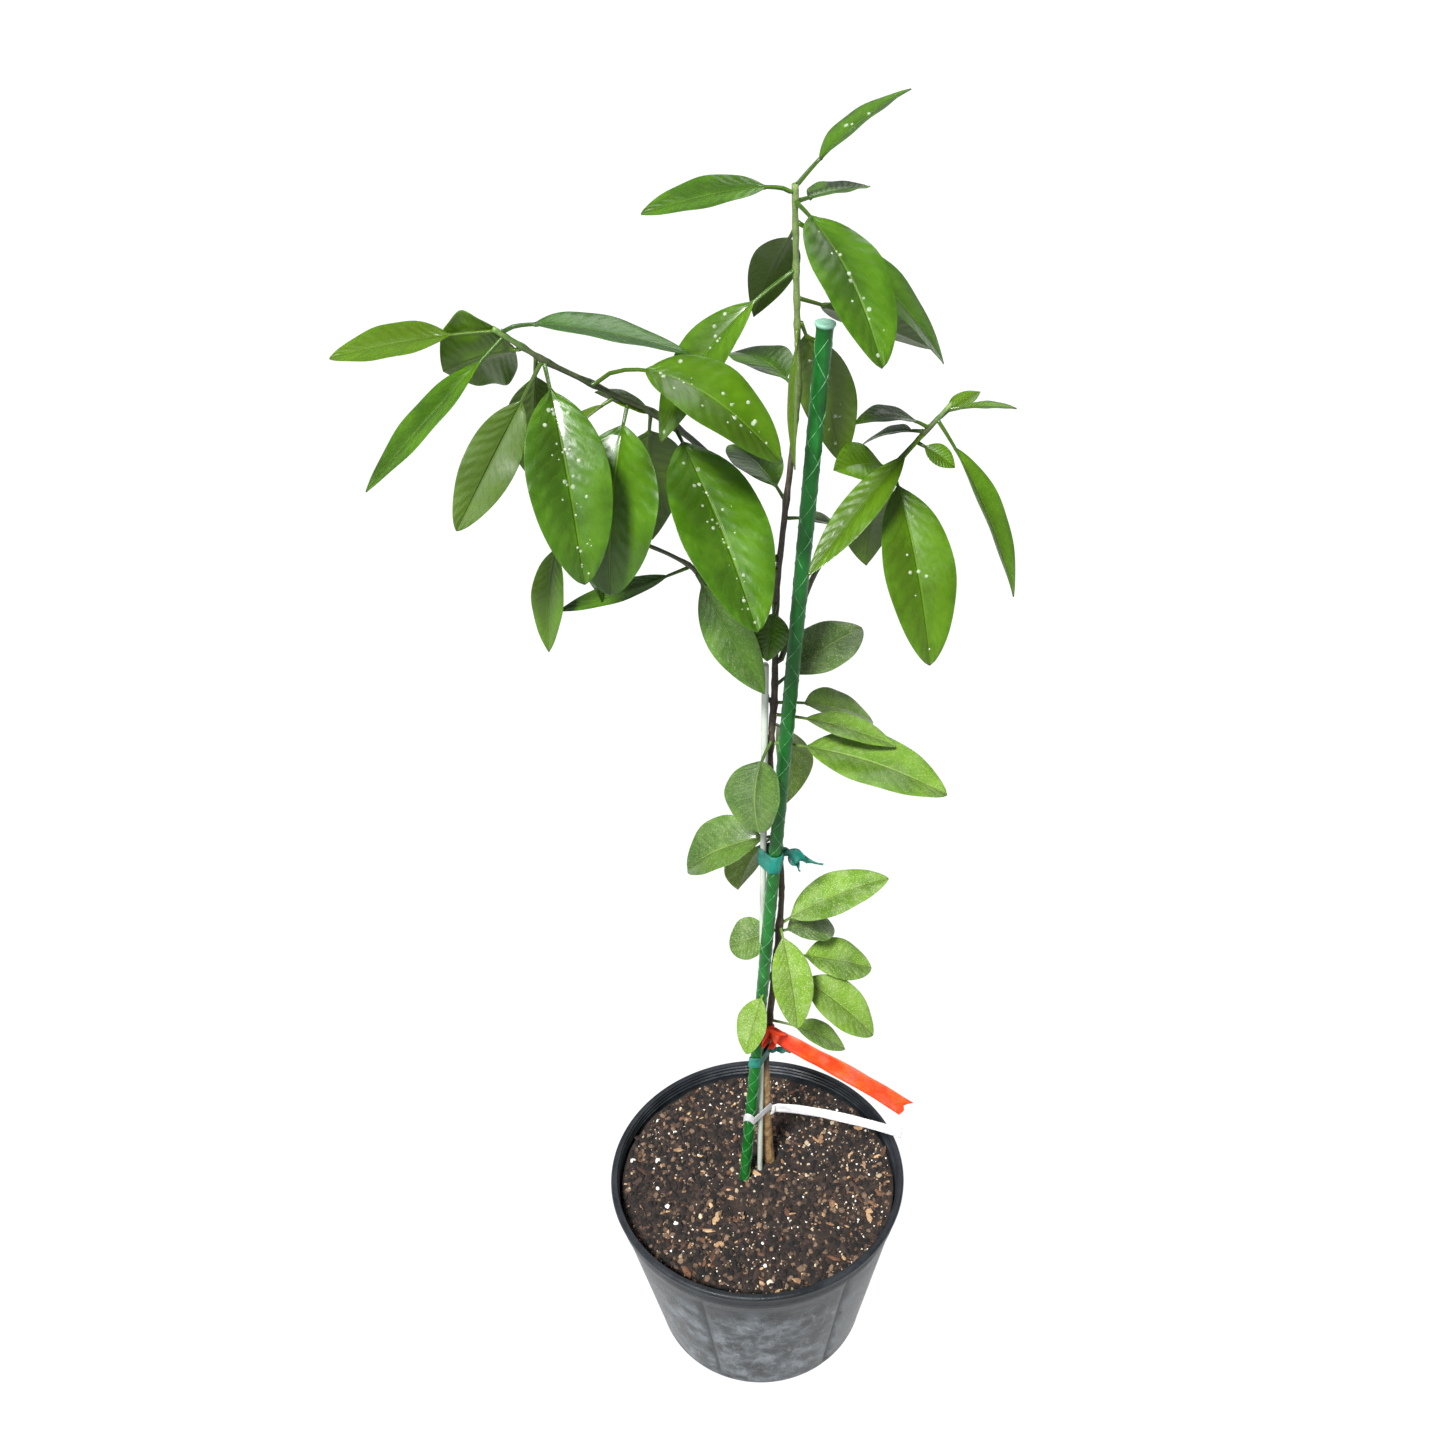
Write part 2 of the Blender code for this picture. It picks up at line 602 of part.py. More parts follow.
def main():
    clear_scene()
    parts = make_collection("potted_tangelo_tree")
    cutters = make_collection("cutters")
    routes = {"stem": stem_route()}
    for name, plan in BRANCHES.items():
        routes[name] = branch_route(routes["stem"], plan)
    make_pot(parts, cutters)
    make_soil(routes["stem"], parts, cutters)
    make_stake(parts)
    bar("rod", rod_at(-ROD_DEPTH), rod_at(ROD_HEIGHT), ROD_RADIUS, parts, make_material("rod_white"))
    make_stems(routes, parts)
    make_leaves(routes, parts)
    make_bands(routes["stem"], parts, cutters)


main()
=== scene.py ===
import math

import bpy
from mathutils import Matrix, Vector, noise


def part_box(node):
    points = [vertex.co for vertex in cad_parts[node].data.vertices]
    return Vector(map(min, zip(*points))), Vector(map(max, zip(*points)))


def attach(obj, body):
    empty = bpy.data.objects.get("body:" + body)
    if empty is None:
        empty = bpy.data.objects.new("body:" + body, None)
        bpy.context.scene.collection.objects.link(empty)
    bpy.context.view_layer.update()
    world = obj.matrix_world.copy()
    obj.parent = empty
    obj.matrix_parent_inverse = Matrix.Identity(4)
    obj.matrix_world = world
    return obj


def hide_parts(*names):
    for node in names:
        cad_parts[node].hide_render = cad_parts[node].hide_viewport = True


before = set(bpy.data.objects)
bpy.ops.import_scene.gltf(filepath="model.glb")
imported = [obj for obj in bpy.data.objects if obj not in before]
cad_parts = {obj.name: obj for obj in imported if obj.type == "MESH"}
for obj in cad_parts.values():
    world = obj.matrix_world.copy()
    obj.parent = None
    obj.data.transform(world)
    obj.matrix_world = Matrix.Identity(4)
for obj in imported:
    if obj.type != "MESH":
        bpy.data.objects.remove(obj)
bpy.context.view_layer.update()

# ---- The pot and its soil, in metres ----
POT_LOW, POT_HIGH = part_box("pot")
LIP_RADIUS = (POT_HIGH[0] - POT_LOW[0]) / 2
POT_HEIGHT = POT_HIGH[2]
BASE_RADIUS = 0.104
POT_WALL = 0.0024
POT_FLOOR = 0.003
LIP_HEIGHT = 0.006
NECK_RADIUS = LIP_RADIUS - 0.0035
NECK_BOTTOM = POT_HEIGHT - 0.019
WALL_TOP = NECK_RADIUS - 0.0015
CORNER_RADIUS = 0.012
POT_SIDES = 240
POT_OVAL = 0.0012           # how far the rim is from round
POT_MIDDLE = 0.0002         # radius of the tiny ring that closes the floor
WALL_STEPS = 14
RIDGES = 3                  # rings inside the neck
RIDGE_PITCH = 0.0042
RIDGE_RISE = 0.0012
GROOVE_ANGLES = (126, 186, 246, 306, 6, 66)
GROOVE_WIDTH = 0.0046
GROOVE_DEPTH = 0.0022
SOIL_TOP = POT_HEIGHT - 0.016
SOIL_RADIUS = 0.1305
SOIL_CROWN = 0.003
SOIL_SIDES = 220
SOIL_STEPS = 60
SOIL_MIDDLE = 0.0003
SOIL_CLODS = ((0.0022, 30), (0.0013, 75), (0.0008, 190))    # height and fineness
PIT_DEPTH = 0.008
# Pits in the soil: right of and behind the middle, then size.
SOIL_PITS = ((-0.022, -0.030, 0.011), (0.036, 0.016, 0.009), (0.034, -0.034, 0.008), (-0.010, -0.034, 0.008))

# ---- Stake, rod and stem ----
STAKE_RADIUS = 0.0049
STAKE_SIDES = 40
STAKE_FOOT = (-0.012, 0.002)
STAKE_LEAN = (0.064, -0.082)
STAKE_HEIGHT = 0.833
STAKE_DEPTH = 0.120
ROD_RADIUS = 0.0025
ROD_FOOT = (0.003, 0.010)
ROD_LEAN = (0.013, -0.059)
ROD_HEIGHT = 0.600
ROD_DEPTH = 0.090
LATTICE_PITCH = 0.052
ROOT_DEPTH = 0.060
SWELLING_REACH = 0.0045     # how far a leaf's swelling runs along the wood
# Height above the soil, then right of and behind the stake's centre line, then radius.
STEM_POINTS = (
    (0.000, 0.025, 0.019, 0.0054),
    (0.070, 0.017, 0.017, 0.0048),
    (0.140, 0.011, 0.015, 0.0048),
    (0.165, 0.010, 0.015, 0.0034),
    (0.265, 0.010, 0.014, 0.0027),
    (0.345, 0.010, 0.013, 0.0025),
    (0.400, 0.007, 0.012, 0.0024),
    (0.505, -0.008, 0.0125, 0.0022),
    (0.575, -0.010, 0.0115, 0.0022),
    (0.650, -0.014, 0.012, 0.0021),
    (0.740, -0.012, 0.012, 0.0019),
    (0.790, -0.011, 0.012, 0.0018),
    (0.826, -0.0145, 0.010, 0.0017),
    (0.870, -0.019, 0.006, 0.0016),
    (0.905, -0.0225, 0.002, 0.0014),
)
# Height on the stem, radius at each end, then shifts from there, right, behind and up.
BRANCHES = {
    "left": (0.679, 0.0021, 0.0012,
             ((-0.032, 0.004, 0.055), (-0.064, -0.024, 0.099), (-0.087, -0.034, 0.116),
              (-0.106, -0.043, 0.130), (-0.126, -0.054, 0.145), (-0.139, -0.059, 0.156),
              (-0.152, -0.064, 0.167))),
    "low": (0.566, 0.0018, 0.0011,
            ((-0.010, 0.006, 0.016), (-0.022, 0.002, 0.045), (-0.036, -0.002, 0.077),
             (-0.051, -0.009, 0.107), (-0.079, -0.017, 0.128), (-0.112, -0.023, 0.146),
             (-0.134, -0.027, 0.139))),
    "right": (0.600, 0.0020, 0.0010,
              ((0.028, 0.014, 0.058), (0.055, 0.012, 0.100), (0.074, 0.002, 0.133),
               (0.093, -0.008, 0.160), (0.107, -0.008, 0.176))),
}

# ---- Leaves ----
PETIOLE_RADIUS = 0.0010
BLADE_THICKNESS = 0.0007
WAVES_ALONG = 2.6           # waves along one margin
RIB_REACH = 0.0011          # half width of the midrib
RIB_SINK = 0.0003           # how deep it lies in the upper face
RIB_RISE = 0.0007           # how far it stands out below
FLAT_FROM = 0.035           # share of the blade over which the stalk flattens
SPINE_STEP = 0.0005         # distance over which the spine's direction is taken
# The plain leaf; a leaf's own words in the tables below change some of these.
LEAF_HABIT = {
    "twist": 0.0,       # degrees that the blade turns from its base to its tip
    "bow": 0.0,         # sideways bend of the spine, as a share of the length
    "fold": 16.0,       # degrees that each half rises from the midrib
    "cup": 0.10,        # how far the margins curve back down
    "wave": 0.025,      # how wavy the margins are
    "lead": 0.5,        # where along the spine the arch is highest
    "widest": 0.46,     # where along the blade it is widest
    "blunt": 0.80,      # lower is blunter at both ends
    "taper": 0.45,      # how narrow the blade starts
    "yellow": 0.25,     # 0 is deep green, 1 is yellow-green
    "dust": 0.0,        # 0 is clean and glossy, 1 is dull and speckled
    "grey": 0.0,        # 1 is grey-green
    "drops": 0.0,       # how many water drops lie on it
    "turned": 0.0,      # 1 when the glossy face is the lower one
}
# Where on its stem (0 to 1), heading, rise and roll in degrees, length and width in millimetres, how far
# the spine arches and how long the petiole is, both as shares of the length, and what is not plain.
LEAVES = {
    "stem": (
        (1.000, 25, 30, -8, 76, 34, 0.05, 0.20, {"wave": 0.02, "drops": 0.3}),
        (0.996, -170, -4, -20, 79, 28, 0.07, 0.16, {"lead": 0.36, "blunt": 0.68}),
        (0.990, 30, 2, 0, 44, 30, 0.02, 0.14, {"blunt": 0.56}),
        (0.990, -60, -40, 0, 103, 42, 0.10, 0.12, {"blunt": 0.62, "drops": 0.6}),
        (0.977, 10, -44, 26, 117, 38, 0.07, 0.14, {}),
        (0.971, 115, -48, 30, 74, 27, 0.08, 0.08, {}),
        (0.949, -172, -49, -34, 118, 34, 0.13, 0.20, {"drops": 0.4, "yellow": 0.4}),
        (0.931, 29, -25, -30, 105, 36, 0.02, 0.14, {"blunt": 0.58}),
        # This leaf's high yellow is painted light: it brightens a leaf that hangs in shade.
        (0.915, 43, -69, -30, 97, 36, 0.06, 0.08,
         {"drops": 0.6, "blunt": 0.70, "turned": 1.0, "yellow": 0.9}),
        (0.872, 128, 8, 0, 59, 38, 0.10, 0.14, {}),
        (0.794, 125, 17, 0, 60, 34, 0.10, 0.14, {}),
        (0.712, -106, -50, 0, 37, 26, 0.05, 0.14, {"dust": 0.3}),
        (0.640, 36, 13, 20, 77, 40, 0.06, 0.14, {"dust": 0.6, "grey": 0.8, "blunt": 0.66}),
        (0.622, 34, -29, 24, 99, 34, 0.06, 0.24, {"dust": 0.5, "blunt": 0.62}),
        (0.612, -8, -15, 10, 86, 26, 0.06, 0.22, {"dust": 0.5}),
        (0.600, 82, -70, 30, 106, 34, 0.18, 0.12, {"dust": 0.5}),
        (0.584, -17, -11, 12, 126, 50, 0.08, 0.18, {"dust": 0.4, "blunt": 0.66}),
        (0.586, -104, -52, 25, 64, 48, 0.18, 0.22, {"dust": 0.3, "grey": 0.6, "yellow": 0.0, "blunt": 0.56}),
        (0.484, 174, -28, -20, 76, 48, 0.12, 0.10,
         {"dust": 0.4, "grey": 0.4, "yellow": 0.1, "fold": 30.0, "blunt": 0.66}),
        (0.482, 140, -62, 20, 80, 40, 0.08, 0.24, {"dust": 0.7}),
        (0.379, 10, 19, 15, 91, 40, 0.08, 0.07, {"dust": 0.8, "blunt": 0.68}),
        (0.374, -73, -62, 0, 84, 34, 0.08, 0.08, {"dust": 0.8, "yellow": 0.6, "blunt": 0.68}),
        (0.366, 34, -24, 24, 58, 34, 0.08, 0.08, {"dust": 0.8, "grey": 0.7, "blunt": 0.68}),
        (0.368, 172, -30, -34, 43, 36, 0.05, 0.12, {"dust": 0.6, "grey": 0.6, "blunt": 0.6}),
        (0.336, 15, -25, 25, 89, 39, 0.06, 0.24, {"dust": 0.8, "blunt": 0.66}),
        (0.323, -14, -39, 22, 103, 41, 0.09, 0.22, {"dust": 0.7, "yellow": 0.6, "blunt": 0.68}),
        (0.320, -124, -54, 8, 75, 30, 0.06, 0.34, {"dust": 0.8, "yellow": 0.6, "blunt": 0.68}),
        (0.242, 4, -34, 15, 76, 27, 0.08, 0.24, {"dust": 0.9}),
    ),
    "left": (
        (1.000, -175, -6, -20, 86, 30, 0.03, 0.24, {"yellow": 0.7, "blunt": 0.70}),
        (0.925, 178, -14, 58, 44, 58, 0.05, 0.05,
         {"yellow": 0.6, "blunt": 0.70, "turned": 1.0, "wave": 0.06}),
        (0.972, -156, -39, -10, 109, 29, 0.01, 0.14, {"wave": 0.03}),
        (0.976, 14, -13, 10, 103, 32, 0.07, 0.14, {"grey": 0.6, "lead": 0.36, "widest": 0.42}),
        (0.869, -141, -50, -50, 101, 29, 0.00, 0.22,
         {"yellow": 0.1, "blunt": 0.66, "wave": 0.05, "turned": 1.0}),
        (0.860, -73, -62, 0, 119, 46, 0.08, 0.12, {"drops": 1.0, "blunt": 0.62}),
        (0.733, -19, -18, 20, 113, 46, 0.24, 0.26,
         {"yellow": 0.45, "lead": 0.42, "drops": 0.7, "blunt": 0.64}),
        (0.630, -110, -66, 0, 107, 60, 0.08, 0.10, {"blunt": 0.62}),
        (0.560, 108, -79, 0, 84, 50, 0.08, 0.12, {}),
        (0.481, -63, -43, 0, 129, 56, 0.05, 0.06, {"drops": 1.0, "blunt": 0.62}),
    ),
    "low": (
        (1.000, -128, -75, 0, 72, 28, 0.04, 0.06, {"yellow": 0.5}),
        (0.566, -165, -11, -10, 86, 22, -0.02, 0.14, {}),
        (0.522, -34, -56, 62, 88, 32, 0.04, 0.06, {"dust": 0.4}),
    ),
    "right": (
        (0.985, -10, 2, 0, 38, 13, 0.04, 0.14, {"yellow": 0.6}),
        (0.936, -32, -61, 0, 117, 27, 0.05, 0.14, {"yellow": 0.4, "fold": 28.0}),
        (0.904, -168, 8, 0, 45, 30, 0.12, 0.14, {"yellow": 0.4}),
        (0.875, -140, -33, -20, 111, 23, 0.02, 0.14, {"yellow": 0.6}),
        (0.730, -72, -58, 0, 122, 47, 0.07, 0.08, {"yellow": 0.5, "drops": 0.3, "blunt": 0.66}),
        (0.730, -148, 12, -30, 43, 32, 0.10, 0.14, {"yellow": 0.5}),
        (0.684, 105, -67, 0, 78, 40, 0.08, 0.12, {}),
    ),
}
# Small leaves and shoots that only fill in between the others.
SMALL_LEAVES = {
    "stem": (
        (0.912, -95, -60, 60, 76, 12, 0.04, 0.10, {"yellow": 0.8, "bow": 0.04}),
        (0.780, 20, -24, 0, 44, 26, 0.08, 0.14, {"yellow": 0.2}),
        (0.740, -150, -30, -20, 34, 18, 0.06, 0.14, {"yellow": 0.2}),
    ),
    "left": (
        (0.520, -165, 30, -20, 44, 16, 0.06, 0.20, {"yellow": 0.9}),
        (0.670, -160, -36, 10, 44, 26, 0.06, 0.14, {"yellow": 0.9}),
        (0.880, 112, -71, 0, 86, 34, 0.06, 0.14, {"yellow": 0.3}),
    ),
    "low": (
        (0.985, -6, -64, 0, 50, 20, 0.06, 0.14, {"yellow": 0.1}),
    ),
    "right": (
        (0.950, 30, 18, 20, 30, 12, 0.06, 0.14, {"yellow": 0.7}),
        (0.850, -20, -30, 40, 26, 14, 0.06, 0.14, {"yellow": 0.5}),
        (0.880, 150, -20, 0, 40, 22, 0.08, 0.14, {"yellow": 0.2}),
    ),
}
OLD_LEAF_LIMIT = 0.66

# ---- Ties, tape and label: heights above the soil, and how far each slopes forward or sideways ----
BAND_SIDES = 72
BAND_THICKNESS = 0.0006
FILM_THICKNESS = 0.0006
HELD = ("stake", "rod", "stem")
TIE_TAILS = {
    # each tail: shifts from the knot, then its width at the start, middle and end
    "tie_upper": (
        (((0.006, -0.006, 0.001), (0.013, -0.010, 0.001), (0.018, -0.011, -0.003)), (0.009, 0.012, 0.003)),
        (((0.005, -0.004, -0.002), (0.010, -0.007, -0.008), (0.012, -0.009, -0.013)), (0.010, 0.008, 0.002)),
        (((0.010, -0.005, 0.000), (0.020, -0.007, -0.005), (0.030, -0.009, -0.007)), (0.007, 0.005, 0.0012)),
    ),
    "tie_lower": (
        (((0.006, -0.003, 0.001), (0.012, -0.005, 0.002), (0.017, -0.006, 0.000)), (0.007, 0.006, 0.002)),
    ),
}
TIES = (
    # name, height span, slope and crease
    ("tie_upper", (0.414, 0.431), 0.0, 0.0008),
    ("tie_lower", (0.174, 0.187), 0.004, 0.0006),
)
TAPE_SPAN = (0.198, 0.214)
LABEL_SPAN = (0.087, 0.098)
LABEL_SLOPE = 0.011
LABEL_DROP = 0.004


# ==== Node helpers ====

FLOAT = "NodeSocketFloat"
VECTOR = "NodeSocketVector"
WHOLE = "NodeSocketInt"
MATERIAL = "NodeSocketMaterial"
GEOMETRY = ("Geometry", "NodeSocketGeometry")


def fill_inputs(tree, node, values):
    """Link the sockets and set the plain values among a node's inputs."""
    for key, value in values.items():
        if isinstance(value, bpy.types.NodeSocket):
            tree.links.new(value, node.inputs[key])
        else:
            node.inputs[key].default_value = value


def add_node(tree, kind, inputs=None, **settings):
    """A node with its settings made and its inputs filled."""
    node = tree.nodes.new(kind)
    for key, value in settings.items():
        setattr(node, key, value)
    fill_inputs(tree, node, inputs or {})
    return node


def new_group(name, kind, inputs, outputs):
    """A node group with named sockets, and its two end nodes."""
    tree = bpy.data.node_groups.new(name, kind)
    for direction, sockets in (("INPUT", inputs), ("OUTPUT", outputs)):
        for label, socket_kind, *value in sockets:
            socket = tree.interface.new_socket(label, in_out=direction, socket_type=socket_kind)
            if value:
                socket.default_value = value[0]
    return tree, tree.nodes.new("NodeGroupInput").outputs, tree.nodes.new("NodeGroupOutput").inputs


def put_group(tree, name, values):
    """One of the shader groups placed in a material, with its own values."""
    return add_node(tree, "ShaderNodeGroup", values, node_tree=GROUPS[name]).outputs


def calc(tree, operation, first, second=0.0, clamp=False):
    node = add_node(tree, "ShaderNodeMath", {0: first, 1: second}, operation=operation, use_clamp=clamp)
    return node.outputs[0]


def times(tree, first, *others):
    """All the values multiplied together."""
    for value in others:
        first = calc(tree, "MULTIPLY", first, value)
    return first


def plus(tree, first, second, clamp=False):
    return calc(tree, "ADD", first, second, clamp)


def minus(tree, first, second):
    return calc(tree, "SUBTRACT", first, second)


def split(tree, vector):
    return add_node(tree, "ShaderNodeSeparateXYZ", {0: vector}).outputs


def attribute(tree, name, output="Fac"):
    return add_node(tree, "ShaderNodeAttribute", attribute_name=name).outputs[output]


def solid(colour):
    """A plain colour as a shader wants it; a socket is left alone."""
    return (*colour, 1.0) if isinstance(colour, tuple) else colour


def lay_over(tree, colour, other, *masks):
    """A colour with another laid over it, as far as the masks multiplied together say."""
    node = add_node(tree, "ShaderNodeMix", {0: times(tree, *masks), 6: solid(colour), 7: solid(other)},
                    data_type="RGBA")
    return node.outputs[2]


def ramp(tree, factor, *stops):
    """A colour ramp with (place, colour) stops."""
    node = add_node(tree, "ShaderNodeValToRGB", {0: factor})
    elements = node.color_ramp.elements
    while len(elements) < len(stops):
        elements.new(0.5)
    for element, (place, colour) in zip(elements, stops):
        element.position = place
        element.color = solid(colour)
    return node.outputs[0]


def between(tree, value, low, high, out_low=0.0, out_high=1.0):
    """The value stretched from one range to another, held at both ends."""
    node = add_node(tree, "ShaderNodeMapRange", {0: value, 1: low, 2: high, 3: out_low, 4: out_high},
                    interpolation_type="SMOOTHSTEP")
    return node.outputs[0]


def mottle(tree, vector, scale, detail=3.0, roughness=0.5, distortion=0.0):
    node = add_node(tree, "ShaderNodeTexNoise", {"Vector": vector, "Scale": scale, "Detail": detail,
                                                 "Roughness": roughness, "Distortion": distortion})
    return node.outputs[0]


# ==== Shared effects ====

def leaf_veins_group():
    """Midrib and curved side veins from a leaf's own map, u across it and v along it."""
    tree, given, out = new_group(
        "leaf_veins", "ShaderNodeTree", [("Map", VECTOR), ("Pairs", FLOAT, 11.0), ("Slant", FLOAT, 2.0)],
        [("Midrib", FLOAT), ("Veins", FLOAT), ("Edge", FLOAT), ("Height", FLOAT)])
    across, along = split(tree, given["Map"])[:2]
    away = calc(tree, "ABSOLUTE", minus(tree, times(tree, across, 2.0), 1.0))
    bend = times(tree, calc(tree, "POWER", away, 0.8), given["Slant"])
    count = minus(tree, times(tree, along, given["Pairs"]), bend)
    count = plus(tree, count, times(tree, mottle(tree, given["Map"], 6.0), 0.9))
    phase = calc(tree, "ABSOLUTE", minus(tree, calc(tree, "FRACT", count), 0.5))
    midrib = between(tree, away, 0.055, 0.012)
    pillow = times(tree, between(tree, phase, 0.0, 0.5), between(tree, away, 0.02, 0.35))
    for name, value in (
            ("Midrib", midrib), ("Edge", between(tree, away, 0.86, 1.0)),
            ("Veins", times(tree, between(tree, phase, 0.09, 0.0), between(tree, away, 0.98, 0.55))),
            ("Height", minus(tree, times(tree, pillow, 0.40), times(tree, midrib, 0.8)))):
        tree.links.new(value, out[name])
    return tree


def speckle_group():
    """Scattered pale spots and blotches."""
    tree, given, out = new_group(
        "speckles", "ShaderNodeTree", [("Vector", VECTOR), ("Scale", FLOAT, 900.0), ("Amount", FLOAT, 0.5)],
        [("Spots", FLOAT), ("Blotches", FLOAT)])
    place, scale = given["Vector"], given["Scale"]
    cells = add_node(tree, "ShaderNodeTexVoronoi", {"Vector": place, "Scale": scale}).outputs
    size = add_node(tree, "ShaderNodeSeparateColor", {0: cells["Color"]}).outputs[0]
    reach = times(tree, size, given["Amount"], 0.5)
    spots = calc(tree, "MULTIPLY", minus(tree, reach, cells["Distance"]), 8.0, clamp=True)
    patches = mottle(tree, place, times(tree, scale, 0.12), 4.0, 0.65)
    tree.links.new(spots, out["Spots"])
    tree.links.new(between(tree, patches, 0.42, 0.66), out["Blotches"])
    return tree


def wear_group():
    """Dust that settles on what faces up, scuffs that run one way, and a fine surface height."""
    tree, given, out = new_group(
        "wear", "ShaderNodeTree", [("Vector", VECTOR), ("Scale", FLOAT, 60.0), ("Along", FLOAT, 0.2)],
        [("Dust", FLOAT), ("Scuffs", FLOAT), ("Height", FLOAT)])
    place, scale = given["Vector"], given["Scale"]
    up = split(tree, add_node(tree, "ShaderNodeNewGeometry").outputs["Normal"])[2]
    cloud = mottle(tree, place, scale, 5.0, 0.6)
    dust = times(tree, between(tree, cloud, 0.35, 0.7), between(tree, up, -0.3, 0.9, 0.45, 1.0))
    stretch = add_node(tree, "ShaderNodeCombineXYZ", {0: 1.0, 1: 1.0, 2: given["Along"]}).outputs[0]
    drawn = add_node(tree, "ShaderNodeVectorMath", {0: place, 1: stretch}, operation="MULTIPLY").outputs[0]
    streaks = mottle(tree, drawn, times(tree, scale, 2.5), 4.0, 0.7, 0.6)
    fine = mottle(tree, place, times(tree, scale, 14.0), 2.0)
    tree.links.new(dust, out["Dust"])
    tree.links.new(between(tree, streaks, 0.52, 0.72), out["Scuffs"])
    tree.links.new(plus(tree, fine, times(tree, streaks, 0.6)), out["Height"])
    return tree


GROUPS = {"veins": leaf_veins_group(), "speckles": speckle_group(), "wear": wear_group()}


# ==== Finishes ====

def start_material(name):
    """A new material, its node tree and the object's own coordinates in it."""
    material = bpy.data.materials.new(name)
    material.use_nodes = True
    tree = material.node_tree
    return material, tree, add_node(tree, "ShaderNodeTexCoord").outputs["Object"]


def end_material(material, colour, roughness, height=None, bump=0.0, others=None):
    """Fill in the material's shader: its colour, its roughness, its bump and its other constants."""
    tree = material.node_tree
    shader = tree.nodes["Principled BSDF"]
    fill_inputs(tree, shader, {"Base Color": solid(colour), "Roughness": roughness, **(others or {})})
    if height is not None:
        node = add_node(tree, "ShaderNodeBump", {"Height": height, "Distance": bump, "Strength": 1.0})
        tree.links.new(node.outputs[0], shader.inputs["Normal"])
    return material


def leaf_finish(name, colours, gloss, vein_strength):
    """A leaf: deep and bright greens, a painted sheen along one half and painted shade over the other, paler
    ribs and margins, a matt underside, dust and speckles.
    """
    material, tree, place = start_material(name)
    leaf_map = add_node(tree, "ShaderNodeUVMap", uv_map="leaf_map").outputs[0]
    kind = attribute(tree, "leaf_kind", "Color")
    under, yellow, dust = add_node(tree, "ShaderNodeSeparateColor", {0: kind}).outputs[:3]
    across = split(tree, leaf_map)[0]
    veins = put_group(tree, "veins", {"Map": leaf_map})
    spots = put_group(tree, "speckles", {"Vector": place, "Scale": 700.0, "Amount": 0.9})
    flecks = put_group(tree, "speckles", {"Vector": place, "Scale": 1500.0, "Amount": 1.1})
    cloud = mottle(tree, place, 38.0, 4.0, 0.6)
    rib = plus(tree, times(tree, veins["Midrib"], 0.30), times(tree, veins["Veins"], vein_strength), True)
    colour = ramp(tree, cloud, (0.30, colours["deep"]), (0.50, colours["mid"]), (0.72, colours["bright"]))
    # The first two layers are painted light: a painted sheen along one half of the blade and painted shade
    # over the other half.
    for other, *masks in (
            ("bright", between(tree, across, 0.50, 0.74), between(tree, across, 1.0, 0.80), 0.45),
            ("deep", between(tree, across, 0.50, 0.40), between(tree, across, 0.05, 0.30), 0.50),
            ("yellow", yellow, 0.75), ("grey", attribute(tree, "leaf_grey"), 0.8),
            ("rib", rib), ("bright", veins["Edge"], 0.15)):
        colour = lay_over(tree, colour, colours[other], *masks)
    matt = lay_over(tree, colours["under"], colours["yellow"], cloud, 0.35)
    colour = lay_over(tree, colour, matt, under, 0.85)
    specks = times(tree, plus(tree, spots["Spots"], flecks["Spots"], True), dust, 0.60)
    film = times(tree, spots["Blotches"], dust, 0.22)
    colour = lay_over(tree, colour, colours["dust"], plus(tree, specks, film, True))
    rough = plus(tree, between(tree, cloud, 0.3, 0.7, gloss, gloss + 0.12),
                 plus(tree, times(tree, under, 0.25), times(tree, dust, 0.25)))
    fine = times(tree, mottle(tree, place, 420.0, 2.0), 0.10)
    ripple = times(tree, mottle(tree, place, 70.0, 2.0), 1.1)
    height = plus(tree, veins["Height"], plus(tree, fine, ripple))
    return end_material(material, colour, rough, height, 0.00065, {
        "Specular IOR Level": 0.24, "Subsurface Weight": 0.12, "Subsurface Radius": (0.5, 1.0, 0.1),
        "Subsurface Scale": 0.002, "Coat Weight": 0.24, "Coat Roughness": 0.16})


YOUNG_COLOURS = {
    "deep": (0.005, 0.026, 0.001), "mid": (0.018, 0.072, 0.001), "bright": (0.054, 0.148, 0.002),
    "yellow": (0.076, 0.132, 0.002), "grey": (0.022, 0.070, 0.016), "rib": (0.110, 0.200, 0.010),
    "under": (0.032, 0.066, 0.002), "dust": (0.240, 0.320, 0.150),
}
OLD_COLOURS = {
    "deep": (0.016, 0.052, 0.002), "mid": (0.044, 0.110, 0.004), "bright": (0.100, 0.205, 0.008),
    "yellow": (0.145, 0.260, 0.010), "grey": (0.028, 0.056, 0.020), "rib": (0.210, 0.290, 0.050),
    "under": (0.055, 0.095, 0.014), "dust": (0.330, 0.400, 0.200),
}


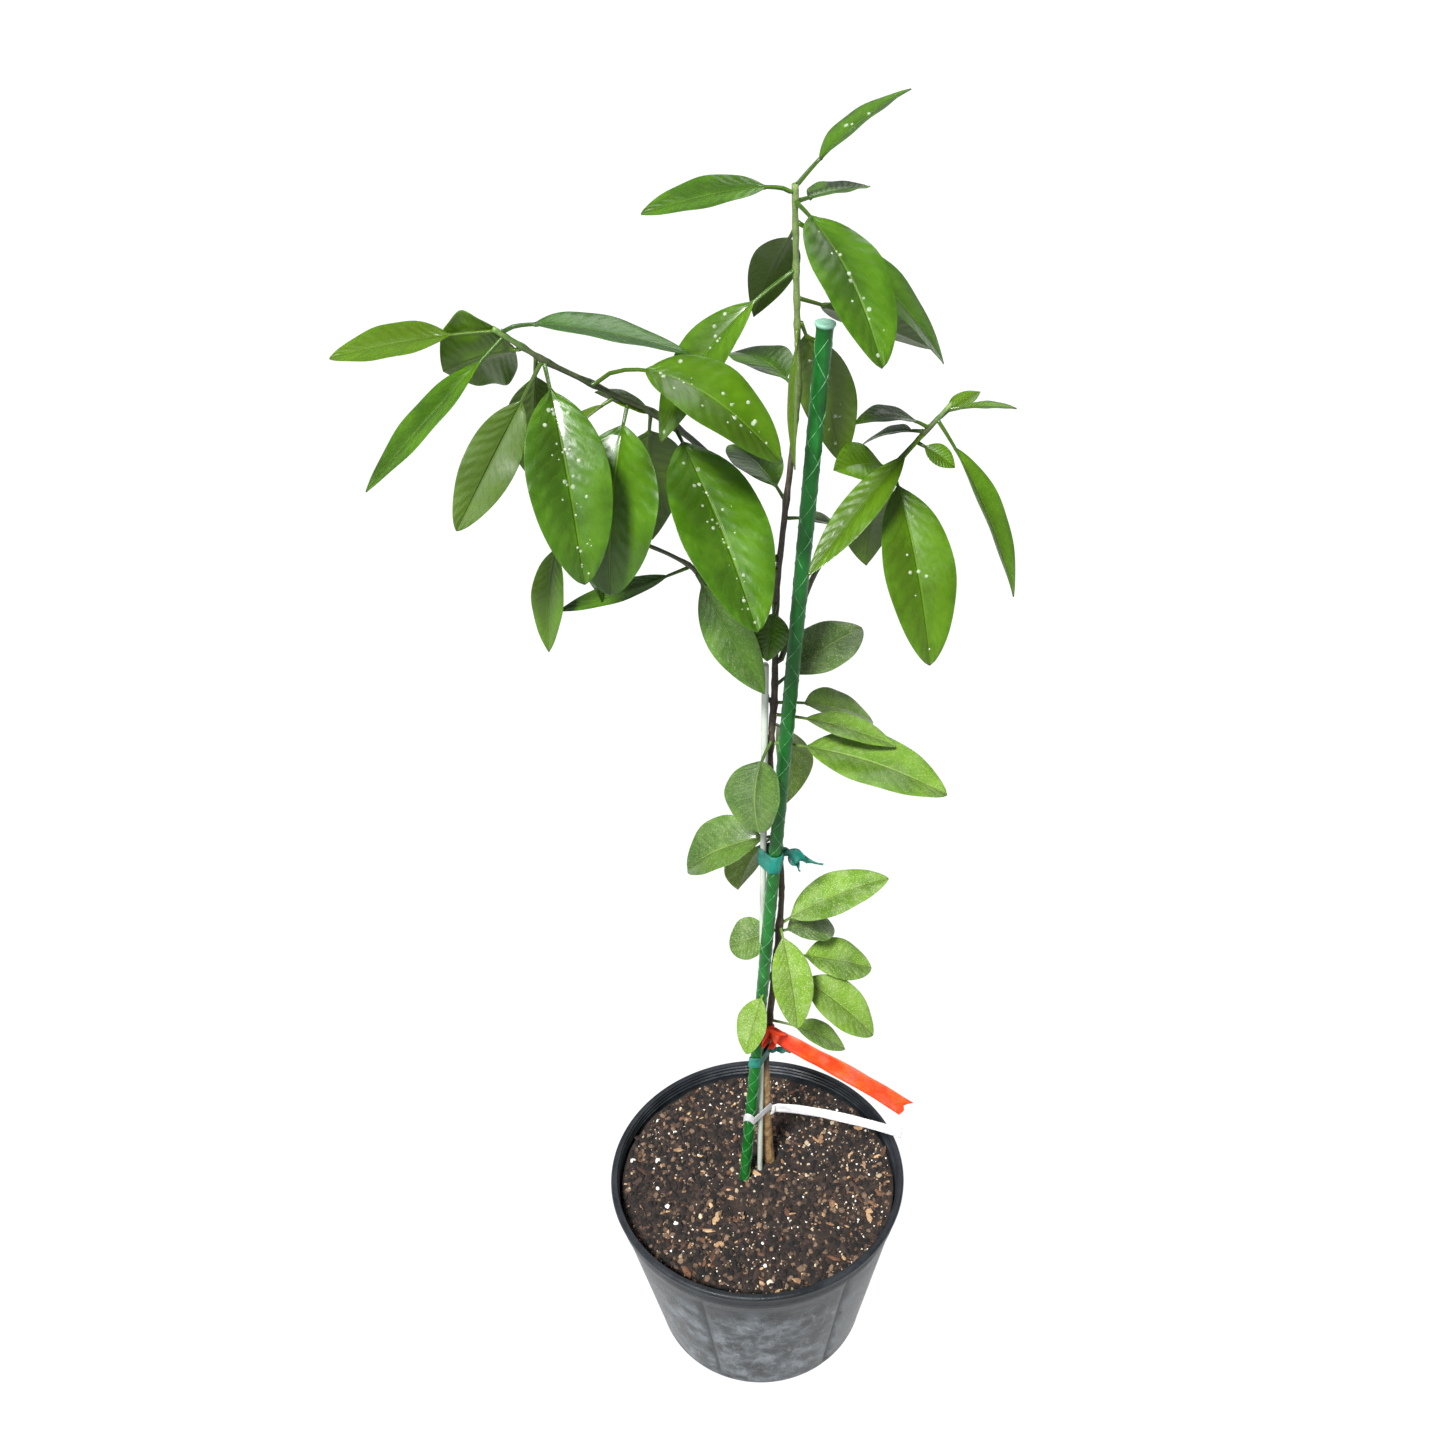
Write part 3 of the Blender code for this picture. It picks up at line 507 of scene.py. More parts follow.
def pot_finish():
    """Black nursery plastic gone grey with dust below its neck, scuffed, with painted shade darkening its
    grooves.
    """
    material, tree, place = start_material("pot_plastic_dusty")
    wear = put_group(tree, "wear", {"Vector": place, "Scale": 48.0, "Along": 0.35})
    spots = put_group(tree, "speckles", {"Vector": place, "Scale": 420.0, "Amount": 0.9})
    below_neck = between(tree, split(tree, place)[2], 0.196, 0.12, 0.03, 0.9)
    colour = ramp(tree, mottle(tree, place, 14.0, 5.0, 0.6), (0.3, (0.004, 0.005, 0.006)),
                  (0.7, (0.018, 0.021, 0.025)))
    # The last layer is painted shade: the grooves are darkened almost to black.
    for other, *masks in (
            ((0.260, 0.292, 0.316), wear["Dust"], below_neck),
            ((0.330, 0.350, 0.370), wear["Scuffs"], below_neck, 0.25),
            ((0.012, 0.013, 0.015), spots["Spots"], 0.55),
            ((0.004, 0.004, 0.005), attribute(tree, "groove"), 0.85)):
        colour = lay_over(tree, colour, other, *masks)
    rough = plus(tree, 0.30, times(tree, wear["Dust"], 0.28))
    return end_material(material, colour, rough, wear["Height"], 0.00025, {"Specular IOR Level": 0.16})


def soil_bed_finish():
    material, tree, place = start_material("soil_bed")
    cloud = mottle(tree, place, 120.0, 6.0, 0.7)
    colour = ramp(tree, cloud, (0.32, (0.005, 0.003, 0.003)), (0.52, (0.016, 0.009, 0.006)),
                  (0.66, (0.040, 0.023, 0.014)), (0.80, (0.090, 0.056, 0.034)))
    grains = put_group(tree, "speckles", {"Vector": place, "Scale": 500.0, "Amount": 1.2})
    return end_material(material, colour, 0.95, plus(tree, cloud, grains["Spots"]), 0.0012)


def bits_finish(name, roughness, grain, *stops):
    """Loose bits whose colour comes from each bit's own tone."""
    material, tree, place = start_material(name)
    cloud = mottle(tree, place, grain, 3.0, 0.6)
    tone = plus(tree, attribute(tree, "tone"), times(tree, minus(tree, cloud, 0.5), 0.35), True)
    return end_material(material, ramp(tree, tone, *stops), roughness, cloud, 0.0004)


def stake_finish():
    """Green coating with a lighter film, scuffs and a pale cut end at the top."""
    material, tree, place = start_material("stake_coating")
    wear = put_group(tree, "wear", {"Vector": place, "Scale": 70.0, "Along": 0.15})
    colour = ramp(tree, mottle(tree, place, 45.0, 4.0, 0.6), (0.3, (0.002, 0.052, 0.005)),
                  (0.7, (0.006, 0.125, 0.014)))
    colour = lay_over(tree, colour, (0.040, 0.200, 0.060), wear["Scuffs"], 0.25)
    colour = lay_over(tree, colour, (0.200, 0.400, 0.300), attribute(tree, "cut_end"))
    rough = plus(tree, 0.28, times(tree, wear["Dust"], 0.25))
    return end_material(material, colour, rough, wear["Height"], 0.0002, {"Specular IOR Level": 0.22})


def lattice_finish():
    material, tree, place = start_material("stake_lattice")
    cloud = mottle(tree, place, 180.0, 3.0, 0.6)
    colour = ramp(tree, cloud, (0.40, (0.006, 0.120, 0.020)), (0.66, (0.150, 0.360, 0.160)))
    return end_material(material, colour, between(tree, cloud, 0.3, 0.7, 0.30, 0.55))


def rod_finish():
    """Off-white glass fibre with fine lengthwise fibres."""
    material, tree, place = start_material("rod_fibre")
    wear = put_group(tree, "wear", {"Vector": place, "Scale": 90.0, "Along": 0.04})
    colour = lay_over(tree, (0.400, 0.450, 0.385), (0.230, 0.265, 0.215), wear["Scuffs"])
    colour = lay_over(tree, colour, (0.300, 0.285, 0.235), wear["Dust"], 0.25)
    rough = plus(tree, 0.30, times(tree, wear["Dust"], 0.2))
    return end_material(material, colour, rough, wear["Height"], 0.00015)


def bark_finish():
    """Tan flaking bark at the foot, then dark young bark, then green wood at the top."""
    material, tree, place = start_material("bark_stem")
    wear = put_group(tree, "wear", {"Vector": place, "Scale": 130.0, "Along": 0.10})
    height = split(tree, place)[2]
    cloud = mottle(tree, place, 160.0, 5.0, 0.7)
    foot = ramp(tree, cloud, (0.30, (0.080, 0.040, 0.012)), (0.50, (0.230, 0.135, 0.048)),
                (0.72, (0.380, 0.270, 0.130)))
    dark = ramp(tree, cloud, (0.30, (0.012, 0.010, 0.005)), (0.55, (0.034, 0.026, 0.012)),
                (0.78, (0.095, 0.076, 0.038)))
    green = ramp(tree, cloud, (0.30, (0.080, 0.150, 0.024)), (0.70, (0.180, 0.250, 0.075)))
    level = plus(tree, height, times(tree, minus(tree, cloud, 0.5), 0.03))
    colour = lay_over(tree, foot, dark, between(tree, level, 0.325, 0.350))
    colour = lay_over(tree, colour, green, between(tree, level, 0.915, 1.000))
    colour = lay_over(tree, colour, (0.330, 0.270, 0.160), wear["Scuffs"], 0.30)
    rough = between(tree, height, 0.70, 1.00, 0.75, 0.45)
    return end_material(material, colour, rough, plus(tree, wear["Height"], cloud), 0.0006)


def twig_finish():
    """Dark young wood that turns green towards the tips."""
    material, tree, place = start_material("twig_wood")
    cloud = mottle(tree, place, 180.0, 4.0, 0.6)
    dark = ramp(tree, cloud, (0.35, (0.014, 0.026, 0.008)), (0.70, (0.060, 0.075, 0.025)))
    green = ramp(tree, cloud, (0.35, (0.060, 0.135, 0.018)), (0.70, (0.140, 0.225, 0.052)))
    colour = lay_over(tree, dark, green, between(tree, attribute(tree, "along"), 0.75, 1.0))
    return end_material(material, colour, between(tree, cloud, 0.3, 0.7, 0.40, 0.60), cloud, 0.0003)


def film_finish(name, deep, bright, gloss, through=0.15):
    """Stretched vinyl: slightly uneven colour, creases and a soft shine."""
    material, tree, place = start_material(name)
    wear = put_group(tree, "wear", {"Vector": place, "Scale": 55.0, "Along": 0.5})
    cloud = mottle(tree, place, 60.0, 3.0, 0.6)
    colour = lay_over(tree, deep, bright, between(tree, cloud, 0.35, 0.65))
    colour = lay_over(tree, colour, (0.600, 0.560, 0.500), wear["Dust"], 0.10)
    rough = plus(tree, gloss, times(tree, wear["Dust"], 0.2))
    height = plus(tree, wear["Height"], times(tree, cloud, 2.0))
    return end_material(material, colour, rough, height, 0.0004, {
        "Specular IOR Level": 0.20, "Subsurface Weight": through, "Subsurface Scale": 0.002})


def water_finish():
    """Clear beads: almost see-through, with a sharp shine."""
    material, tree, place = start_material("water_drops")
    cloud = mottle(tree, place, 300.0)
    return end_material(material, (0.80, 0.90, 0.70), between(tree, cloud, 0.3, 0.7, 0.02, 0.08), others={
        "IOR": 1.45, "Specular IOR Level": 1.0, "Alpha": between(tree, cloud, 0.3, 0.7, 0.18, 0.36)})


def floor_finish():
    material, tree, place = start_material("floor_pale")
    colour = ramp(tree, mottle(tree, place, 3.0), (0.3, (0.020, 0.020, 0.020)), (0.7, (0.024, 0.024, 0.024)))
    return end_material(material, colour, 0.9, others={
        "Emission Color": (1.0, 1.0, 1.0, 1.0), "Emission Strength": 1.0})


FINISHES = {
    "leaf_young": leaf_finish("leaf_glossy", YOUNG_COLOURS, 0.30, 0.07),
    "leaf_old": leaf_finish("leaf_weathered", OLD_COLOURS, 0.42, 0.18),
    "pot": pot_finish(),
    "soil": soil_bed_finish(),
    "crumbs": bits_finish("peat_crumbs", 0.95, 400.0,
                          (0.00, (0.001, 0.001, 0.001)), (0.42, (0.005, 0.003, 0.002)),
                          (0.74, (0.024, 0.014, 0.009)), (1.00, (0.150, 0.094, 0.058))),
    "chips": bits_finish("bark_chips", 0.85, 500.0,
                         (0.00, (0.010, 0.005, 0.004)), (0.42, (0.036, 0.016, 0.009)),
                         (0.72, (0.130, 0.056, 0.026)), (1.00, (0.420, 0.270, 0.140))),
    "perlite": bits_finish("perlite_grains", 0.9, 800.0, (0.00, (0.230, 0.165, 0.090)),
                           (0.60, (0.430, 0.350, 0.235)), (1.00, (0.700, 0.680, 0.630))),
    "stake": stake_finish(),
    "lattice": lattice_finish(),
    "rod": rod_finish(),
    "bark": bark_finish(),
    "twig": twig_finish(),
    "teal": film_finish("tie_film", (0.000, 0.065, 0.050), (0.000, 0.155, 0.115), 0.38),
    "orange": film_finish("tape_film", (0.560, 0.024, 0.000), (0.780, 0.052, 0.001), 0.45, 0.20),
    "label": film_finish("label_film", (0.380, 0.385, 0.395), (0.500, 0.500, 0.500), 0.40),
    "water": water_finish(),
}


# ==== Mesh helpers ====

def add_piece(name, mesh, finish, nodes=(), smooth=True):
    """Put a finished mesh in the scene, riding on the plant, in its finish."""
    piece = bpy.data.objects.new(name, mesh)
    bpy.context.scene.collection.objects.link(piece)
    mesh.materials.clear()
    mesh.materials.append(FINISHES[finish])
    if smooth:
        mesh.shade_smooth()
    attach(piece, "root")
    if nodes:
        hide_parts(*nodes)
    return piece


def skin_rings(name, rings, closed_ends=True):
    """A closed skin over rings that all have the same number of points."""
    count = len(rings[0])
    points = [point for ring in rings for point in ring]
    faces = []
    for row in range(len(rings) - 1):
        for side in range(count):
            near = row * count + side
            far = row * count + (side + 1) % count
            faces.append((near, far, far + count, near + count))
    if closed_ends:
        faces.append(tuple(range(count - 1, -1, -1)))
        start = (len(rings) - 1) * count
        faces.append(tuple(range(start, start + count)))
    mesh = bpy.data.meshes.new(name)
    mesh.from_pydata([tuple(point) for point in points], [], faces)
    mesh.validate()
    return mesh


def add_values(mesh, name, values, kind="FLOAT"):
    """Store one value for each point of the mesh."""
    layer = mesh.attributes.new(name, kind, "POINT")
    flat = values if kind == "FLOAT" else [part for value in values for part in value]
    layer.data.foreach_set("value" if kind == "FLOAT" else "color", flat)


def add_map(mesh, name, places):
    """Store a two-way map, given one place for each point."""
    layer = mesh.uv_layers.new(name=name)
    for loop in mesh.loops:
        layer.data[loop.index].uv = places[loop.vertex_index]


def smooth_route(points, steps):
    """A smooth curve through points of any size, such as a place and a radius together."""
    ends = [tuple(2 * a - b for a, b in zip(points[0], points[1]))]
    ends.extend(points)
    ends.append(tuple(2 * a - b for a, b in zip(points[-1], points[-2])))
    route = []
    for first, here, there, last in zip(ends, ends[1:], ends[2:], ends[3:]):
        for step in range(steps):
            t = step / steps
            route.append(tuple(
                0.5 * (2 * b + (c - a) * t + (2 * a - 5 * b + 4 * c - d) * t * t
                       + (3 * b - a - 3 * c + d) * t ** 3)
                for a, b, c, d in zip(first, here, there, last)))
    route.append(tuple(points[-1]))
    return route


def frames_along(places):
    """A tangent and two steady cross directions at each place of a route."""
    frames = []
    across = None
    for index in range(len(places)):
        ahead = places[min(index + 1, len(places) - 1)] - places[max(index - 1, 0)]
        tangent = ahead.normalized()
        if across is None:
            across = tangent.orthogonal().normalized()
        across = (across - tangent * across.dot(tangent)).normalized()
        frames.append((tangent, across, tangent.cross(across)))
    return frames


def full_turn(sides):
    """The angles of a full turn, each with its cosine and sine."""
    angles = [2 * math.pi * side / sides for side in range(sides)]
    return [(angle, math.cos(angle), math.sin(angle)) for angle in angles]


def tube(name, route, sides, roughness=0.0, grain=150.0):
    """A round stem through (x, y, z, radius), its skin a little uneven."""
    places = [Vector(point[:3]) for point in route]
    rings = []
    for place, point, (_, across, other) in zip(places, route, frames_along(places)):
        ring = []
        for _, cosine, sine in full_turn(sides):
            out = across * cosine + other * sine
            swell = 1 + roughness * noise.noise((place + out * point[3]) * grain)
            ring.append(place + out * point[3] * swell)
        rings.append(ring)
    mesh = skin_rings(name, rings)
    along = [row / (len(rings) - 1) for row in range(len(rings)) for _ in range(sides)]
    add_values(mesh, "along", along)
    return mesh


def stake_at(height):
    share = height / STAKE_HEIGHT
    return Vector((STAKE_FOOT[0] + STAKE_LEAN[0] * share, STAKE_FOOT[1] + STAKE_LEAN[1] * share,
                   SOIL_TOP + height))


def rod_at(height):
    share = height / ROD_HEIGHT
    return Vector((ROD_FOOT[0] + ROD_LEAN[0] * share, ROD_FOOT[1] + ROD_LEAN[1] * share,
                   SOIL_TOP + height))


def point_at(route, share):
    """The place, direction and radius at a share of a route's length."""
    places = [Vector(point[:3]) for point in route]
    lengths = [(b - a).length for a, b in zip(places, places[1:])]
    left = share * sum(lengths)
    for index, length in enumerate(lengths):
        if left <= length or index == len(lengths) - 1:
            t = left / length
            radius = route[index][3] + (route[index + 1][3] - route[index][3]) * t
            along = (places[index + 1] - places[index]).normalized()
            return places[index].lerp(places[index + 1], t), along, radius
        left -= length


def at_height(route, height):
    level = SOIL_TOP + height
    for low, high in zip(route, route[1:]):
        if low[2] <= level <= high[2]:
            t = (level - low[2]) / (high[2] - low[2])
            return Vector(low[:3]).lerp(Vector(high[:3]), t), low[3] + (high[3] - low[3]) * t


def stem_route():
    points = []
    for height, right, behind, radius in STEM_POINTS:
        spot = stake_at(height) + Vector((right, behind, 0.0))
        points.append((*spot, radius))
    return smooth_route(points, 3)


def branch_route(stem, plan):
    height, thick, thin, shifts = plan
    start, stem_radius = at_height(stem, height)
    out = Vector((shifts[0][0], shifts[0][1], 0.0)).normalized()
    spots = [out * (stem_radius + thick + 0.0006)] + [Vector(shift) for shift in shifts]
    points = []
    for index, spot in enumerate(spots):
        points.append((*(start + spot), thick + (thin - thick) * index / (len(spots) - 1)))
    return smooth_route(points, 2)


# ==== Leaves ====

def blade_width(share, habit):
    """How wide the blade is along its length, as a share of its greatest width."""
    lean = math.log(0.5) / math.log(habit["widest"])
    full = max(math.sin(math.pi * min(share, 1.0) ** lean), 0.0) ** habit["blunt"]
    return full * (1 - habit["taper"] * math.exp(-share / 0.07))


HALF_ACROSS = (1.0, 0.985, 0.93, 0.82, 0.66, 0.48, 0.30, 0.16, 0.07, 0.025)
ACROSS = list(HALF_ACROSS) + [0.0] + [-side for side in reversed(HALF_ACROSS)]


def leaf_stations(length, petiole):
    """Where the leaf's cross-sections stand: close together at both ends of the blade."""
    stations = [-0.0015, 0.0, petiole * 0.3, petiole * 0.6, petiole * 0.85]
    steps = 28
    for step in range(steps + 1):
        even = step / steps
        eased = (1 - math.cos(math.pi * even)) / 2
        stations.append(petiole + (length - petiole) * (0.5 * even + 0.5 * eased))
    return stations


def spine_point(along, length, arch, habit):
    """The spine's place, in the leaf's own directions."""
    share = min(max(along / length, 0.0), 1.0)
    lifted = share ** (math.log(0.5) / math.log(habit["lead"]))
    return Vector((along, habit["bow"] * length * 4 * share * (1 - share),
                   arch * length * 4 * lifted * (1 - lifted)))


def leaf_section(share, half, thick, flat, habit, phase):
    """One cross-section as (across, up, side, underside): round on the petiole, folded on the blade."""
    fold = math.sin(math.radians(habit["fold"]))
    section = []
    for top in (True, False):
        for side in (ACROSS if top else ACROSS[-2:0:-1]):
            bend = math.sqrt(side * side + 0.004) - 0.063
            surface = half * (fold * bend - habit["cup"] * side * side)
            swing = math.sin(2 * math.pi * (WAVES_ALONG * share + phase + 0.2 * side))
            surface += half * habit["wave"] * side * side * swing
            rib = math.exp(-((half * side / RIB_REACH) ** 2)) * (1 - 0.75 * share)
            edge = 0.25 + 0.75 * math.sqrt(max(1 - side * side, 0.0))
            if top:
                lift = surface + thick / 2 * edge - RIB_SINK * rib
            else:
                lift = surface - thick / 2 * edge - RIB_RISE * rib
            angle = math.pi / 2 * side
            round_up = half * math.cos(angle) * (1 if top else -1)
            section.append((half * (flat * side + (1 - flat) * math.sin(angle)),
                            flat * lift + (1 - flat) * round_up, side, 0.0 if top else 1.0))
    return section


def leaf_shape(name, length, width, arch, petiole_share, habit, phase):
    """A leaf with its petiole at the origin and its tip on +X, as a closed skin with its own map."""
    petiole = petiole_share * length
    stations = leaf_stations(length, petiole)
    rings = []
    places = []
    kinds = []
    for along in stations:
        share = max((along - petiole) / (length - petiole), 0.0)
        spread = blade_width(share, habit)
        stalk = PETIOLE_RADIUS * (1.25 - 0.25 * min(max(along, 0.0) / petiole, 1.0)) * (1 - 0.6 * share)
        half = max(width / 2 * spread, stalk)
        flat = min(share / FLAT_FROM, 1.0)
        here = spine_point(along, length, arch, habit)
        ahead = spine_point(along + SPINE_STEP, length, arch, habit)
        tangent = (ahead - here).normalized()
        turn = math.radians(habit["twist"]) * (along / length)
        up = Matrix.Rotation(turn, 3, tangent) @ Vector((0.0, 0.0, 1.0))
        up = (up - tangent * up.dot(tangent)).normalized()
        left = up.cross(tangent)
        ring = []
        for across, lift, side, under in leaf_section(share, half, BLADE_THICKNESS, flat, habit, phase):
            ring.append(here + left * across + up * lift)
            places.append(((side + 1) / 2, share))
            kinds.append((abs(under - habit["turned"]), habit["yellow"], habit["dust"], 1.0))
        rings.append(ring)
    mesh = skin_rings(name, rings)
    add_map(mesh, "leaf_map", places)
    add_values(mesh, "leaf_kind", kinds, "FLOAT_COLOR")
    add_values(mesh, "leaf_grey", [habit["grey"]] * len(mesh.vertices))
    room = [max(1 - abs(u * 2 - 1) * 1.9, 0.0) * (1 - kind[0]) if 0.1 < v < 0.97 else 0.0
            for (u, v), kind in zip(places, kinds)]
    add_values(mesh, "drop_room", room)
    return mesh


def place_leaf(name, route, row, finish, nodes=()):
    """A leaf set on its stem, its petiole starting in the bark."""
    share, heading, rise, roll, length, width, arch, petiole_share, words = row
    habit = {**LEAF_HABIT, **words}
    place, along, radius = point_at(route, share)
    turn = math.radians(heading)
    tilt = math.radians(rise)
    aim = Vector((math.cos(tilt) * math.cos(turn), math.cos(tilt) * math.sin(turn), math.sin(tilt)))
    out = (aim - along * aim.dot(along)).normalized()
    phase = noise.cell(Vector((length, heading, rise)) * 0.37)
    mesh = leaf_shape(name, length / 1000, width / 1000, arch, petiole_share, habit, phase)
    pose = Matrix.Translation(place + out * (radius + PETIOLE_RADIUS))
    pose = pose @ Matrix.Rotation(turn, 4, "Z") @ Matrix.Rotation(-tilt, 4, "Y")
    mesh.transform(pose @ Matrix.Rotation(math.radians(roll), 4, "X"))
    return add_piece(name, mesh, finish, nodes), habit


def build_leaves(routes):
    """Every leaf of every stem; gives back those that carry water drops."""
    wet = []
    for stem, rows in LEAVES.items():
        for index, row in enumerate(rows):
            node = f"leaf_{stem}_{index + 1:02d}"
            slot = "leaf_old" if stem == "stem" and row[0] < OLD_LEAF_LIMIT else "leaf_young"
            piece, habit = place_leaf(f"shown_{node}", routes[stem], row, slot, (node,))
            if habit["drops"] > 0:
                wet.append((piece, habit["drops"]))
    for stem, rows in SMALL_LEAVES.items():
        for index, row in enumerate(rows):
            place_leaf(f"small_leaf_{stem}_{index + 1:02d}", routes[stem], row, "leaf_young")
    return wet


# ==== Pot and soil ====

def arc(centre, radius, start, end, steps):
    points = []
    for step in range(steps + 1):
        angle = math.radians(start + (end - start) * step / steps)
        points.append((centre[0] + radius * math.cos(angle), centre[1] + radius * math.sin(angle)))
    return points


def pot_profile():
    """The pot's section in four runs of (radius, height): inside, outer corner, outer wall, neck and rim."""
    lip = LIP_HEIGHT / 2
    inside = [(NECK_RADIUS - POT_WALL, POT_HEIGHT - 0.0006)]
    for ridge in range(RIDGES):
        level = POT_HEIGHT - 0.0035 - RIDGE_PITCH * ridge
        for rise, shift in ((0.0, 0.0010), (RIDGE_RISE, 0.0), (0.0003, -0.0016)):
            inside.append((NECK_RADIUS - POT_WALL - rise - 0.0002 * ridge, level + shift))
    inside.append((WALL_TOP - POT_WALL, NECK_BOTTOM - 0.0015))
    inside.append((BASE_RADIUS - POT_WALL, CORNER_RADIUS))
    inside.append((BASE_RADIUS - CORNER_RADIUS, POT_FLOOR))
    outside = arc((BASE_RADIUS - CORNER_RADIUS, CORNER_RADIUS), CORNER_RADIUS, -90, 0, 8)
    wall = []
    for step in range(1, WALL_STEPS):
        share = step / WALL_STEPS
        radius = BASE_RADIUS + (WALL_TOP - BASE_RADIUS) * share
        wall.append((radius, CORNER_RADIUS + (NECK_BOTTOM - 0.0015 - CORNER_RADIUS) * share))
    neck = [(WALL_TOP, NECK_BOTTOM - 0.0015), (WALL_TOP + 0.0006, NECK_BOTTOM - 0.0009),
            (NECK_RADIUS, NECK_BOTTOM + 0.0002), (NECK_RADIUS, NECK_BOTTOM + 0.0040),
            (NECK_RADIUS, POT_HEIGHT - LIP_HEIGHT - 0.0018),
            (NECK_RADIUS + 0.0004, POT_HEIGHT - LIP_HEIGHT - 0.0006)]
    rim = arc((LIP_RADIUS - lip, POT_HEIGHT - lip), lip, -90, 90, 8)
    return inside, outside, wall, neck + rim


def build_pot():
    """The pot turned from its section, with six shallow grooves down its wall."""
    inside, corner, wall, neck = pot_profile()
    rows = [(POT_MIDDLE, POT_FLOOR, 0.0)] + [(r, z, 0.0) for r, z in reversed(inside)]
    rows += [(r, z, 0.0) for r, z in reversed(neck)]
    rows += [(r, z, min(1.0, 12 * (NECK_BOTTOM - z) / NECK_BOTTOM, (z - CORNER_RADIUS / 2) / 0.012))
             for r, z in reversed(wall)]
    rows += [(r, z, max((z - CORNER_RADIUS / 2) / 0.012, 0.0)) for r, z in reversed(corner)]
    rows.append((POT_MIDDLE, 0.0, 0.0))
    rings = []
    groove_shade = []
    for radius, height, groove in rows:
        ring = []
        depths = []
        for angle, cosine, sine in full_turn(POT_SIDES):
            deep = 0.0
            for degrees in GROOVE_ANGLES:
                off = (math.degrees(angle) - degrees + 180) % 360 - 180
                away = math.radians(off) * radius / GROOVE_WIDTH
                deep += math.exp(-away * away * 2.5)
            depths.append(groove * deep)
            reach = radius - GROOVE_DEPTH * groove * deep
            reach *= 1 + POT_OVAL * math.sin(2 * angle + 0.7) * (height / POT_HEIGHT) ** 2 * (radius > 0.01)
            ring.append(Vector((reach * cosine, reach * sine, height)))
        rings.append(list(reversed(ring)))
        groove_shade += reversed(depths)
    mesh = skin_rings("nursery_pot", rings)
    # The groove values also mask the painted shade that darkens the grooves in the pot's finish.
    add_values(mesh, "groove", groove_shade)
    add_piece("nursery_pot", mesh, "pot", ("pot",))
    mesh.set_sharp_from_angle(angle=math.radians(50))


def soil_level(x, y):
    """The soil's height: a low crown, clods and a few pits."""
    reach = math.hypot(x, y) / SOIL_RADIUS
    spot = Vector((x, y, 0.0))
    level = SOIL_TOP + SOIL_CROWN * (1 - reach ** 2)
    clods = [rise * noise.noise(spot * grain) for rise, grain in SOIL_CLODS]
    level += sum(clods)
    for pit_x, pit_y, size in SOIL_PITS:
        away = math.hypot(x - pit_x, y - pit_y) / size
        level -= PIT_DEPTH * math.exp(-away * away)
    return level


def circle(radius, sides, height=None):
    """Points round the pot's axis, at one height or on the soil."""
    places = [(radius * cosine, radius * sine) for _, cosine, sine in full_turn(sides)]
    return [Vector((x, y, soil_level(x, y) if height is None else height)) for x, y in places]


def build_soil():
    """The soil as one closed body that follows the inside of the pot."""
    bottom = POT_FLOOR + 0.0006
    profile = ((SOIL_MIDDLE, bottom), (BASE_RADIUS - CORNER_RADIUS - 0.001, bottom),
               (BASE_RADIUS - 0.0034, CORNER_RADIUS), (SOIL_RADIUS, SOIL_TOP - 0.006))
    rings = [circle(radius, SOIL_SIDES, height) for radius, height in profile]
    rings += [circle(SOIL_RADIUS * (1 - step / SOIL_STEPS) + SOIL_MIDDLE, SOIL_SIDES)
              for step in range(SOIL_STEPS + 1)]
    mesh = skin_rings("soil_bed", rings)
    return add_piece("soil_bed", mesh, "soil", ("soil",))


# ==== Geometry Nodes: what repeats ====

def grow(name, base, tree, values, finish, smooth=True):
    """Run a geometry tree on a base mesh and keep its result as a plain piece."""
    maker = bpy.data.objects.new(name, base)
    bpy.context.scene.collection.objects.link(maker)
    modifier = maker.modifiers.new("grow", "NODES")
    modifier.node_group = tree
    for item in tree.interface.items_tree:
        if item.in_out == "INPUT" and item.name in values:
            modifier[item.identifier] = values[item.name]
    depsgraph = bpy.context.evaluated_depsgraph_get()
    mesh = bpy.data.meshes.new_from_object(maker.evaluated_get(depsgraph))
    bpy.data.objects.remove(maker, do_unlink=True)
    mesh.name = name
    return add_piece(name, mesh, finish, smooth=smooth)


HALF_TURN = 3.1416


def random_number(tree, low, high, seed):
    node = add_node(tree, "FunctionNodeRandomValue", {2: low, 3: high, 8: seed}, data_type="FLOAT")
    return node.outputs[1]


